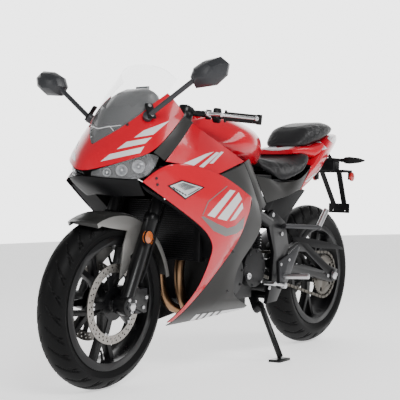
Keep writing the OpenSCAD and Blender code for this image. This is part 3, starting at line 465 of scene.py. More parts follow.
def smooth(obj: bpy.types.Object, degrees: float = 38.0) -> None:
    """Shades a mesh smooth, with sharp edges past an angle.

    Args:
        obj: The object.
        degrees: The angle.
    """
    obj.data.polygons.foreach_set("use_smooth", [True] * len(obj.data.polygons))
    obj.data.set_sharp_from_angle(angle=math.radians(degrees))


def bake(obj: bpy.types.Object) -> bpy.types.Object:
    """Applies an object's modifiers to its mesh.

    Args:
        obj: The object.

    Returns:
        The same object.
    """
    graph = bpy.context.evaluated_depsgraph_get()
    mesh = bpy.data.meshes.new_from_object(obj.evaluated_get(graph), depsgraph=graph)
    obj.modifiers.clear()
    obj.data = mesh
    return obj


def shape(
    name: str, verts: Iterable[Sequence[float]], faces: Iterable[Sequence[int]]
) -> bpy.types.Object:
    """Makes a mesh object from points and faces.

    Args:
        name: Name of the object.
        verts: Points in metres, in the row frame.
        faces: Corner numbers of each face.

    Returns:
        The object.
    """
    mesh = bpy.data.meshes.new(name)
    mesh.from_pydata([tuple(v) for v in verts], [], [tuple(f) for f in faces])
    mesh.validate()
    return link_mesh(name, mesh)


def angles(count: int) -> list[float]:
    """Returns angles evenly spread around a circle, from zero."""
    return [2 * math.pi * k / count for k in range(count)]


def ring_faces(
    rings: int, sides: int, first: int = 0, looped: bool = False
) -> list[tuple[int, ...]]:
    """Lists the quads between rings of points.

    Args:
        rings: Number of rings.
        sides: Points in each ring.
        first: Number of the first point.
        looped: Whether the last ring joins the first.

    Returns:
        The corner numbers of each quad.
    """
    faces = []
    for i in range(rings if looped else rings - 1):
        here, there = first + i * sides, first + (i + 1) % rings * sides
        for j in range(sides):
            k = (j + 1) % sides
            faces.append((here + j, here + k, there + k, there + j))
    return faces


def end_caps(count: int, sides: int) -> list[tuple[int, ...]]:
    """Lists the two faces that close a row of rings with that many points at its ends."""
    return [tuple(range(sides)), tuple(range(count - 1, count - sides - 1, -1))]


def revolved(
    name: str,
    profile: Sequence[tuple[float, float]],
    sides: int,
    place: Matrix,
    sharp: float = 32.0,
) -> bpy.types.Object:
    """Turns a profile of radius and height, in millimetres, around Z.

    Args:
        name: Name of the object.
        profile: Radius and height of each point.
        sides: Number of sides.
        place: Matrix from millimetres to the row frame.
        sharp: Angle of sharp edges in degrees.

    Returns:
        The turned object.
    """
    verts = [
        place @ Vector((r * math.cos(a), r * math.sin(a), z))
        for r, z in profile for a in angles(sides)
    ]
    obj = shape(name, verts, ring_faces(len(profile), sides))
    tidy_up(obj)
    smooth(obj, sharp)
    return obj


@contextmanager
def edited(obj: bpy.types.Object) -> Iterator[bmesh.types.BMesh]:
    """Opens an object's mesh for changes and writes it back after them.

    Args:
        obj: The object.

    Yields:
        The open mesh.
    """
    mesh = bmesh.new()
    mesh.from_mesh(obj.data)
    yield mesh
    mesh.to_mesh(obj.data)
    mesh.free()


def tidy_up(obj: bpy.types.Object) -> None:
    """Merges a mesh's equal corners and turns its faces outwards.

    Args:
        obj: The object.
    """
    with edited(obj) as mesh:
        bmesh.ops.remove_doubles(mesh, verts=mesh.verts, dist=MERGE_GAP)
        bmesh.ops.recalc_face_normals(mesh, faces=mesh.faces)


def thicken(obj: bpy.types.Object, depth: float) -> None:
    """Gives a sheet a depth in millimetres, behind its faces.

    Args:
        obj: The sheet.
        depth: The depth.
    """
    modifier = obj.modifiers.new("thick", "SOLIDIFY")
    modifier.thickness = depth * MM
    modifier.offset = -1.0
    bake(obj)


def search_tree(obj: bpy.types.Object) -> BVHTree:
    """Returns the tree that finds where a ray meets a mesh."""
    return BVHTree.FromPolygons(
        [v.co.copy() for v in obj.data.vertices], [tuple(p.vertices) for p in obj.data.polygons]
    )


def both_sides(place: Sequence[float], out: Sequence[float] = (0.0, 1.0, 0.0)) -> list[Spot]:
    """Returns a place on the left with its direction, and the same on the right."""
    return [((place[0], s * place[1], place[2]), (out[0], s * out[1], out[2])) for s in (1, -1)]


def toward(place: Sequence[float], out: Sequence[float]) -> Matrix:
    """Returns the matrix that puts Z along a direction at a place, both of the upright bike."""
    turn = Vector(out).to_track_quat("Z", "Y").to_matrix().to_4x4()
    return UPRIGHT @ Matrix.Translation(Vector(place)) @ turn


def joined(name: str, objs: Sequence[bpy.types.Object]) -> bpy.types.Object:
    """Joins meshes with their materials into one object.

    Args:
        name: Name of the result.
        objs: The objects, which go away.

    Returns:
        The joined object.
    """
    verts: list[Vector] = []
    faces: list[tuple[int, ...]] = []
    for obj in objs:
        first = len(verts)
        verts += [v.co.copy() for v in obj.data.vertices]
        faces += [tuple(first + k for k in p.vertices) for p in obj.data.polygons]
        bpy.data.objects.remove(obj)
    result = shape(name, verts, faces)
    smooth(result)
    return result


class Tree:
    """Geometry node tree with named inputs that ends in real mesh with a material."""

    def __init__(self, name: str, inputs: dict[str, str]) -> None:
        """Starts the tree.

        Args:
            name: Name of the tree.
            inputs: Socket type of each named input.
        """
        self.tree = bpy.data.node_groups.new(name, "GeometryNodeTree")
        face = self.tree.interface
        face.new_socket("Geometry", in_out="INPUT", socket_type="NodeSocketGeometry")
        for key, kind in {**inputs, "Material": "NodeSocketMaterial"}.items():
            face.new_socket(key, in_out="INPUT", socket_type=kind)
        face.new_socket("Geometry", in_out="OUTPUT", socket_type="NodeSocketGeometry")
        self.given = self.add("NodeGroupInput").outputs

    def add(self, kind: str, sockets: dict[str, Any] | None = None, **settings: Any) -> Any:
        """Adds a node.

        Args:
            kind: Type of the node.
            sockets: Value or source socket of each input.
            settings: The node's own properties.

        Returns:
            The node.
        """
        node = self.tree.nodes.new(kind)
        for key, value in settings.items():
            setattr(node, key, value)
        for key, value in (sockets or {}).items():
            if isinstance(value, bpy.types.NodeSocket):
                self.tree.links.new(value, node.inputs[key])
            else:
                node.inputs[key].default_value = value
        return node

    def end(self, geometry: Any) -> None:
        """Makes the instances real, sets the material and closes the tree.

        Args:
            geometry: Socket with the instances.
        """
        real = self.add("GeometryNodeRealizeInstances", {"Geometry": geometry})
        paint = self.add(
            "GeometryNodeSetMaterial",
            {"Geometry": real.outputs[0], "Material": self.given["Material"]},
        )
        self.add("NodeGroupOutput", {"Geometry": paint.outputs[0]})

    def run(self, obj: bpy.types.Object, values: dict[str, Any]) -> bpy.types.Object:
        """Runs the tree on an object and keeps its result as the object's mesh.

        Args:
            obj: The object.
            values: Value of each named input.

        Returns:
            The same object.
        """
        modifier = obj.modifiers.new(self.tree.name, "NODES")
        modifier.node_group = self.tree
        for item in self.tree.interface.items_tree:
            if item.item_type == "SOCKET" and item.in_out == "INPUT" and item.name in values:
                modifier[item.identifier] = values[item.name]
        return bake(obj)


def scatter_tree() -> Tree:
    """Returns the tree that puts a piece on each point, along the point's own direction."""
    tree = Tree("scatter", {"Piece": "NodeSocketObject"})
    piece = tree.add("GeometryNodeObjectInfo", {"Object": tree.given["Piece"]})
    out = tree.add("GeometryNodeInputNamedAttribute", {"Name": "out"}, data_type="FLOAT_VECTOR")
    turn = tree.add(
        "FunctionNodeAlignRotationToVector", {"Vector": out.outputs["Attribute"]}, axis="Z"
    )
    spread = tree.add(
        "GeometryNodeInstanceOnPoints",
        {"Points": tree.given["Geometry"], "Instance": piece.outputs["Geometry"],
         "Rotation": turn.outputs["Rotation"]},
    )
    tree.end(spread.outputs["Instances"])
    return tree


def chain_tree() -> Tree:
    """Returns the tree that lays links along a closed path, each second one narrower."""
    tree = Tree(
        "chain_links",
        {"Link": "NodeSocketObject", "Links": "NodeSocketInt", "Narrow": "NodeSocketFloat"},
    )
    path = tree.add("GeometryNodeMeshToCurve", {"Mesh": tree.given["Geometry"]})
    even = tree.add(
        "GeometryNodeResampleCurve", {"Curve": path.outputs[0], "Count": tree.given["Links"]}
    )
    link = tree.add("GeometryNodeObjectInfo", {"Object": tree.given["Link"]})
    along = tree.add("GeometryNodeInputTangent")
    turn = tree.add(
        "FunctionNodeAlignRotationToVector", {"Vector": along.outputs[0]}, axis="X", pivot_axis="Y"
    )
    index = tree.add("GeometryNodeInputIndex")
    odd = tree.add("ShaderNodeMath", operation="MODULO")
    tree.tree.links.new(index.outputs[0], odd.inputs[0])
    odd.inputs[1].default_value = 2.0
    width = tree.add(
        "ShaderNodeMapRange",
        {"Value": odd.outputs[0], "To Min": 1.0, "To Max": tree.given["Narrow"]},
    )
    size = tree.add("ShaderNodeCombineXYZ", {"X": 1.0, "Y": width.outputs[0], "Z": 1.0})
    laid = tree.add(
        "GeometryNodeInstanceOnPoints",
        {"Points": even.outputs[0], "Instance": link.outputs["Geometry"],
         "Rotation": turn.outputs["Rotation"], "Scale": size.outputs[0]},
    )
    tree.end(laid.outputs["Instances"])
    return tree


def rotor_tree(rows: int = 2, stagger: float = 0.055) -> Tree:
    """Returns the tree of a flat brake ring with staggered rows of holes.

    Args:
        rows: Number of rows.
        stagger: Angle by which each row is turned from the one inside it.

    Returns:
        The tree, whose inputs are in metres.
    """
    floats = ("Outer", "Inner", "Thick", "Hole")
    tree = Tree("rotor", {**{k: "NodeSocketFloat" for k in floats}, "Holes": "NodeSocketInt"})
    outlines = tree.add("GeometryNodeJoinGeometry")
    for rim in ("Outer", "Inner"):
        circle = tree.add(
            "GeometryNodeCurvePrimitiveCircle", {"Resolution": 128, "Radius": tree.given[rim]}
        )
        tree.tree.links.new(circle.outputs[0], outlines.inputs[0])
    for k in range(rows):
        share = (k + 1) / (rows + 1)
        radius = tree.add(
            "ShaderNodeMapRange",
            {"Value": share, "To Min": tree.given["Inner"], "To Max": tree.given["Outer"]},
        )
        places = tree.add(
            "GeometryNodeMeshCircle",
            {"Vertices": tree.given["Holes"], "Radius": radius.outputs[0]},
        )
        hole = tree.add(
            "GeometryNodeCurvePrimitiveCircle", {"Resolution": 10, "Radius": tree.given["Hole"]}
        )
        drilled = tree.add(
            "GeometryNodeInstanceOnPoints",
            {"Points": places.outputs[0], "Instance": hole.outputs[0]},
        )
        turned = tree.add(
            "GeometryNodeTransform",
            {"Geometry": drilled.outputs[0], "Rotation": (0.0, 0.0, stagger * k)},
        )
        real = tree.add("GeometryNodeRealizeInstances", {"Geometry": turned.outputs[0]})
        tree.tree.links.new(real.outputs[0], outlines.inputs[0])
    flat = tree.add("GeometryNodeFillCurve", {"Curve": outlines.outputs[0]})
    thick = tree.add(
        "GeometryNodeExtrudeMesh",
        {"Mesh": flat.outputs[0], "Offset Scale": tree.given["Thick"], "Individual": False},
    )
    under = tree.add("GeometryNodeFlipFaces", {"Mesh": flat.outputs[0]})
    whole = tree.add("GeometryNodeJoinGeometry")
    for part in (thick, under):
        tree.tree.links.new(part.outputs[0], whole.inputs[0])
    tree.end(whole.outputs[0])
    return tree


@dataclass
class Workshop:
    """The loaded frame, with the calls that every sub-assembly uses."""

    frame: dict[str, Any]
    pieces: int = 0
    skins: dict[str, bpy.types.Object] = field(default_factory=dict)
    scatter_nodes: Tree = field(default_factory=scatter_tree)
    # Angles in degrees: flat enough to join or dissolve, sharp enough to crease or round
    join_angle: float = 50.0
    dissolve_angle: float = 0.6
    crease_angle: float = 42.0
    round_angle: float = 35.0
    crease: float = 0.85

    def body(self, node: str) -> str:
        """Returns the body that a CAD node rides on."""
        return self.frame["nodes"][node]["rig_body"]

    def copy(self, node: str, name: str | None = None) -> bpy.types.Object:
        """Copies a CAD node's mesh with its corners merged.

        Args:
            node: The CAD node.
            name: Name of the copy.

        Returns:
            The copy, at the origin.
        """
        data = self.frame["nodes"][node].data
        points = np.empty(len(data.vertices) * 3)
        data.vertices.foreach_get("co", points)
        points = points.reshape(-1, 3)
        _, first, where = np.unique(
            np.round(points, 5), axis=0, return_index=True, return_inverse=True
        )
        corners = np.empty(len(data.loops), dtype=np.int64)
        data.loops.foreach_get("vertex_index", corners)
        faces = where.reshape(-1)[corners].reshape(-1, 3)
        keep = (faces != np.roll(faces, 1, axis=1)).all(axis=1)
        return shape(name or node + "_skin", points[first], faces[keep].tolist())

    def skin(self, node: str, finish: Finish, style: Skin, bevel: float = 1.0) -> None:
        """Replaces a CAD node by its smoothed copy.

        Args:
            node: The CAD node.
            finish: Its finish.
            style: How the copy is smoothed.
            bevel: Width of the rounded edges in millimetres, on a solid.
        """
        obj = self.copy(node)
        if style is Skin.PANEL:
            self._round_panel(obj)
        else:
            self._round_solid(obj, bevel)
        bake(obj)
        smooth(obj)
        self.skins[node] = self.add(obj, self.body(node), finish, [node])

    def _round_panel(self, obj: bpy.types.Object) -> None:
        """Makes a panel's faces quads, creases its edges and subdivides it.

        Args:
            obj: The copy of the panel's node.
        """
        flat, sharp = math.radians(self.join_angle), math.radians(self.crease_angle)
        with edited(obj) as mesh:
            bmesh.ops.join_triangles(
                mesh, faces=mesh.faces, angle_face_threshold=flat, angle_shape_threshold=flat
            )
            crease = mesh.edges.layers.float.new("crease_edge")
            for edge in mesh.edges:
                if len(edge.link_faces) == 2 and edge.calc_face_angle(0.0) > sharp:
                    edge[crease] = self.crease
        modifier = obj.modifiers.new("round_off", "SUBSURF")
        modifier.levels = modifier.render_levels = 2

    def _round_solid(self, obj: bpy.types.Object, bevel: float) -> None:
        """Dissolves a solid's flat edges and rounds its sharp ones.

        Args:
            obj: The copy of the solid's node.
            bevel: Width of the rounding in millimetres.
        """
        flat = math.radians(self.dissolve_angle)
        with edited(obj) as mesh:
            bmesh.ops.dissolve_limit(mesh, angle_limit=flat, verts=mesh.verts, edges=mesh.edges)
        modifier = obj.modifiers.new("edge_round", "BEVEL")
        modifier.width = bevel * MM
        modifier.segments = 2
        modifier.limit_method = "ANGLE"
        modifier.angle_limit = math.radians(self.round_angle)

    def repaint(
        self,
        node: str,
        finish: Finish,
        chosen: Callable[[Vector, Vector], bool],
        place: Matrix = UPRIGHT,
    ) -> None:
        """Gives some faces of a skin a second finish.

        Args:
            node: The CAD node whose skin is repainted.
            finish: The second finish.
            chosen: Says from a face's middle and normal whether it is repainted.
            place: Matrix from the frame of those, in millimetres, to the row frame.
        """
        obj = self.skins[node]
        obj.data.materials.append(finish.material())
        second = len(obj.data.materials) - 1
        back = place.inverted()
        turn = back.to_3x3().normalized()
        for face in obj.data.polygons:
            if chosen(back @ face.center, (turn @ face.normal).normalized()):
                face.material_index = second

    def add(
        self, obj: bpy.types.Object, body: str, finish: Finish, replaces: Sequence[str] = ()
    ) -> bpy.types.Object:
        """Gives a finished piece its material and body.

        Args:
            obj: The piece.
            body: The body it rides on.
            finish: Its finish.
            replaces: CAD nodes that it stands for.

        Returns:
            The piece.
        """
        if obj.data.materials:
            obj.data.materials[0] = finish.material()
        else:
            obj.data.materials.append(finish.material())
        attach(obj, body)
        if replaces:
            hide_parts(*replaces)
        self.pieces += 1
        log.info("%s on %s: %d faces", obj.name, body, len(obj.data.polygons))
        return obj

    def scatter(
        self,
        name: str,
        body: str,
        piece: bpy.types.Object,
        spots: Sequence[Spot],
        finish: Finish,
        place: Matrix = UPRIGHT,
    ) -> bpy.types.Object:
        """Puts a small piece on many places with geometry nodes.

        Args:
            name: Name of the result.
            body: The body it rides on.
            piece: The small piece in metres, standing on Z, which goes away.
            spots: Place and direction of each.
            finish: Its finish.
            place: Matrix from the spots' frame to the row frame.

        Returns:
            All the small pieces as one object.
        """
        turn = place.to_3x3()
        obj = shape(name, [place @ Vector(p) for p, _ in spots], [])
        out = obj.data.attributes.new("out", "FLOAT_VECTOR", "POINT")
        ways = [(turn @ Vector(way)).normalized() for _, way in spots]
        out.data.foreach_set("vector", [c for way in ways for c in way])
        self.scatter_nodes.run(obj, {"Piece": piece, "Material": finish.material()})
        bpy.data.objects.remove(piece)
        smooth(obj)
        return self.add(obj, body, finish)


# Small standard pieces


def screw_head(radius: float = 4.5, height: float = 3.0) -> bpy.types.Object:
    """Makes a round screw head with a hexagon socket.

    Args:
        radius: Radius in millimetres.
        height: Height in millimetres.

    Returns:
        The head in metres, standing on Z.
    """
    sides = 18
    # Share of the radius, share of the height, and whether the ring is a hexagon
    rings = (
        (1.0, 0.0, False), (1.0, 0.7, False), (0.86, 1.0, False),
        (0.55, 1.0, True), (0.5, 0.35, True), (0.02, 0.3, False),
    )
    sixth = math.pi / 6
    verts = []
    for share, level, hexagon in rings:
        for a in angles(sides):
            flat = math.cos(sixth) / math.cos(a % (2 * sixth) - sixth) if hexagon else 1.0
            r = radius * share * flat * MM
            verts.append((r * math.cos(a), r * math.sin(a), level * height * MM))
    return shape("screw_head", verts, ring_faces(len(rings), sides))


def ring_piece(radius: float, thick: float) -> bpy.types.Object:
    """Makes a small round ring around Z, in metres, from millimetres.

    Args:
        radius: Radius of its middle line.
        thick: Radius of its section.

    Returns:
        The ring.
    """
    turns, sides = 24, 8
    verts = []
    for a in angles(turns):
        for b in angles(sides):
            r = (radius + thick * math.cos(b)) * MM
            verts.append((r * math.cos(a), r * math.sin(a), thick * math.sin(b) * MM))
    return shape("ring_piece", verts, ring_faces(turns, sides, looped=True))


def block(name: str, size: Sequence[float], place: Matrix, bevel: float = 2.0) -> bpy.types.Object:
    """Makes a rounded block around the origin of a frame.

    Args:
        name: Name of the object.
        size: Its three sides in millimetres.
        place: Matrix from millimetres to the row frame.
        bevel: Radius of its edges in millimetres.

    Returns:
        The block.
    """
    mesh = bmesh.new()
    bmesh.ops.create_cube(mesh, size=1.0)
    for vert in mesh.verts:
        vert.co = Vector(c * s for c, s in zip(vert.co, size))
    bmesh.ops.bevel(mesh, geom=mesh.edges[:], offset=bevel, segments=3, profile=0.5, affect="EDGES")
    mesh.transform(place)
    data = bpy.data.meshes.new(name)
    mesh.to_mesh(data)
    mesh.free()
    obj = link_mesh(name, data)
    smooth(obj)
    return obj


def tube(
    name: str, path: Sequence[Vector], radius: float, place: Matrix, sides: int = 10
) -> bpy.types.Object:
    """Sweeps a round section along a path.

    Args:
        name: Name of the object.
        path: Points in millimetres.
        radius: Radius in millimetres.
        place: Matrix from millimetres to the row frame.
        sides: Sides of the section.

    Returns:
        The closed tube.
    """
    verts: list[Vector] = []
    side = Vector((0.31, 0.87, 0.39))
    for i, point in enumerate(path):
        along = (path[min(i + 1, len(path) - 1)] - path[max(i - 1, 0)]).normalized()
        side = (side - along * side.dot(along)).normalized()
        across = along.cross(side)
        for a in angles(sides):
            verts.append(place @ (point + radius * (math.cos(a) * side + math.sin(a) * across)))
    obj = shape(name, verts, ring_faces(len(path), sides) + end_caps(len(verts), sides))
    tidy_up(obj)
    smooth(obj, 50)
    return obj


def helix(start: Vector, end: Vector, radius: float, turns: float, steps: int = 16) -> list[Vector]:
    """Lists the points of a coil between two points, in their own units.

    Args:
        start: First end of its axis.
        end: Other end of its axis.
        radius: Radius of the coil.
        turns: Number of turns.
        steps: Points in a turn.

    Returns:
        The points, from the first end on.
    """
    along = (end - start).normalized()
    side = along.orthogonal().normalized()
    across = along.cross(side)
    count = int(turns * steps)
    points = []
    for k in range(count + 1):
        a = 2 * math.pi * k / steps
        turn = math.cos(a) * side + math.sin(a) * across
        points.append(start.lerp(end, k / count) + radius * turn)
    return points


# Painted panels and their graphics

Pixel = tuple[float, float]
Quad = tuple[Pixel, Pixel, Pixel, Pixel]
# Steps of a film's mesh to each pixel
FILM_STEPS = 1.2


@dataclass(frozen=True)
class Decal:
    """Thin film on a panel, given by pixels of the photograph and repeated on the other side.

    Args:
        name: Name of the film.
        nodes: Panels that carry it.
        finish: Its finish.
        quads: Four corners of each field, in order.
        lift: Height over the panel in millimetres.
        replaces: CAD nodes that the film stands for.
    """

    name: str
    nodes: tuple[str, ...]
    finish: Finish
    quads: tuple[Quad, ...]
    lift: float = 0.5
    replaces: tuple[str, ...] = ()

    def build(self, shop: Workshop) -> None:
        """Lays the film on the panels' skins on both sides.

        Args:
            shop: The workshop that holds the skins.
        """
        trees = [search_tree(shop.skins[node]) for node in self.nodes]
        verts: list[Vector] = []
        faces: list[tuple[int, ...]] = []
        for quad in self.quads:
            self._lay(quad, trees, verts, faces)
        count = len(verts)
        verts += [MIRROR_OVER @ v for v in verts]
        faces += [tuple(count + k for k in reversed(f)) for f in faces]
        obj = shape(self.name, verts, faces)
        obj.data.polygons.foreach_set("use_smooth", [True] * len(obj.data.polygons))
        shop.add(obj, shop.body(self.nodes[0]), self.finish, self.replaces)

    def _lay(
        self,
        quad: Quad,
        trees: Sequence[BVHTree],
        verts: list[Vector],
        faces: list[tuple[int, ...]],
    ) -> None:
        """Adds one field to the mesh.

        Args:
            quad: Its corners in pixels.
            trees: Search trees of the panels.
            verts: Points so far.
            faces: Faces so far.
        """
        a, b, c, d = (np.array(p) for p in quad)
        across, deep = (
            max(2, int(max(np.linalg.norm(p), np.linalg.norm(q)) * FILM_STEPS))
            for p, q in ((b - a, c - d), (d - a, c - b))
        )
        place: dict[tuple[int, int], int] = {}
        for i in range(deep + 1):
            for j in range(across + 1):
                u, v = j / across, i / deep
                px = (1 - v) * ((1 - u) * a + u * b) + v * ((1 - u) * d + u * c)
                ray = PHOTO.ray(*px)
                hits = [h for h in (t.ray_cast(PHOTO.eye, ray) for t in trees) if h[0] is not None]
                if not hits:
                    continue
                point, normal, _, _ = min(hits, key=lambda h: h[3])
                place[i, j] = len(verts)
                verts.append(point - math.copysign(self.lift * MM, normal.dot(ray)) * normal)
        for i in range(deep):
            for j in range(across):
                corners = [place.get(k) for k in ((i, j), (i + 1, j), (i + 1, j + 1), (i, j + 1))]
                if None not in corners:
                    faces.append(tuple(corners))


def band(points: Sequence[Pixel], width: float) -> tuple[Quad, ...]:
    """Turns a line of pixels into the fields of a band of that width.

    Args:
        points: Pixels of the line.
        width: Width in pixels.

    Returns:
        One field for each stretch of the line.
    """
    quads = []
    for p, q in zip(points, points[1:]):
        along = np.array(q) - np.array(p)
        side = np.array((-along[1], along[0])) / np.linalg.norm(along) * width / 2
        quads.append(tuple(tuple(map(float, c)) for c in (p - side, q - side, q + side, p + side)))
    return tuple(quads)


DECALS = (
    Decal("nose_stripes", ("nose_cowl",), SILVER, (
        ((100.6, 161.6), (140.2, 153.0), (144.2, 146.6), (109.6, 154.2)),
        ((116.6, 149.4), (145.2, 143.4), (151.8, 137.4), (126.6, 141.9)),
        # The third stripe is drawn out to a triangle that also covers a painted highlight, where
        # the cowl's highlight merges with the stripe
        ((134.0, 137.8), (153.2, 134.7), (169.4, 120.8), (143.6, 130.6)),
    )),
    Decal("crease_slashes", ("side_fairings",), SILVER, (
        ((184.0, 163.4), (194.0, 165.6), (214.0, 151.6), (206.0, 153.8)),
        ((199.0, 166.6), (203.4, 167.4), (219.4, 153.0), (216.4, 152.0)),
        ((209.4, 163.6), (213.0, 163.4), (223.6, 152.2), (221.0, 151.6)),
    )),
    Decal("side_bars", ("side_fairings",), SILVER, (
        ((207.4, 215.4), (214.6, 217.6), (235.4, 190.8), (230.0, 189.8)),
        ((217.4, 218.4), (226.6, 220.8), (241.8, 199.2), (238.6, 192.2)),
        ((229.6, 221.2), (235.0, 219.4), (243.0, 208.2), (242.2, 202.6)),
    )),
    Decal("side_outline", ("side_fairings",), GREY_LINE, band(
        ((227.2, 186.2), (208.2, 201.8), (202.6, 215.4)), 1.1)),
    Decal("side_chevron", ("side_fairings", "lower_fairings"), GREY_LINE, (
        ((200.9, 216.8), (203.6, 216.2), (217.3, 223.6), (213.6, 231.0)),
        ((213.6, 231.0), (217.3, 223.6), (227.3, 228.2), (225.5, 236.4)),
        ((225.5, 236.4), (227.3, 228.2), (235.5, 225.5), (236.4, 233.6)),
        ((236.4, 233.6), (235.5, 225.5), (244.5, 216.4), (243.2, 228.0)),
    )),
    Decal("belly_band", ("lower_fairings",), SILVER, (
        ((184.0, 326.0), (247.0, 311.6), (248.6, 306.8), (196.0, 314.6)),
    )),
    Decal("belly_lines", ("lower_fairings",), CHARCOAL, tuple(
        ((188.0 + s, 326.4 - 0.2 * s), (190.4 + s, 325.8 - 0.2 * s),
         (203.4 + s, 312.8 - 0.16 * s), (201.0 + s, 313.2 - 0.16 * s))
        for s in (0.0, 6.5, 13.0, 19.5)), 0.9),
    Decal("tail_film", ("tail_cowl",), SILVER, (
        ((287.6, 150.6), (312.0, 153.6), (327.4, 148.6), (319.8, 141.2)),
        ((327.4, 138.6), (335.2, 145.2), (338.0, 139.0), (331.6, 131.8)),
        # The third field is a slim silver slash laid over a white-pink patch on the lower tail
        ((304.6, 181.6), (307.0, 181.8), (318.4, 173.4), (315.4, 173.0)),
    )),
    Decal("bridge_film", ("tail_cowl", "tail_bridge"), SILVER, (
        ((263.0, 149.4), (270.6, 143.0), (281.0, 150.4), (272.0, 150.6)),
    )),
    Decal("tail_wedge", ("tail_cowl",), CHARCOAL, (
        ((302.4, 149.8), (315.0, 149.0), (324.6, 147.6), (319.4, 142.6)),
    ), 0.9),
    Decal("screen_edge_line", ("windscreen",), SILVER, band(
        ((88.6, 125.2), (97.4, 128.8), (109.8, 126.2), (113.6, 131.0)), 0.7)),
)

TURN_LAMP = (
    Decal("turn_lamp_rims", ("side_fairings",), GLOSS_BLACK, (
        ((167.3, 185.9), (181.8, 180.0), (204.5, 187.3), (185.0, 199.5)),
    ), 1.6),
    Decal("turn_lamp_lenses", ("side_fairings",), WHITE_LENS, (
        ((169.6, 186.0), (181.8, 181.3), (202.2, 187.6), (185.2, 198.0)),
    ), 2.4, ("turn_lamps",)),
    Decal("turn_lamp_bowls", ("side_fairings",), CHROME, (
        ((176.6, 185.0), (182.8, 182.8), (196.0, 187.0), (184.6, 190.6)),
    ), 3.0),
    Decal("turn_lamp_ribs", ("side_fairings",), DARK_METAL, tuple(
        ((171.8 + 2.9 * k, 187.2 + 1.75 * k), (173.4 + 2.9 * k, 187.0 + 1.75 * k),
         (175.6 + 2.7 * k, 189.2 + 1.55 * k), (174.0 + 2.7 * k, 189.6 + 1.55 * k)) for k in range(5)
    ) + band(((187.4, 195.0), (199.0, 188.4)), 0.8), 3.0),
)

# Finish of each painted panel, and the core that its dark inner faces look at: x or none, and z
PANELS: dict[str, tuple[Finish, tuple[float | None, float]]] = {
    "nose_cowl": (RED, (1120.0, 820.0)),
    "nose_trims": (CHARCOAL, (None, 800.0)),
    "inner_cowl": (BLACK_PLASTIC, (None, 600.0)),
    "side_fairings": (RED, (None, 560.0)),
    "lower_fairings": (CHARCOAL, (None, 470.0)),
    "spar_covers": (CHARCOAL, (None, 650.0)),
    "tail_cowl": (RED, (None, 800.0)),
    "seat_panels": (CHARCOAL, (None, 690.0)),
}


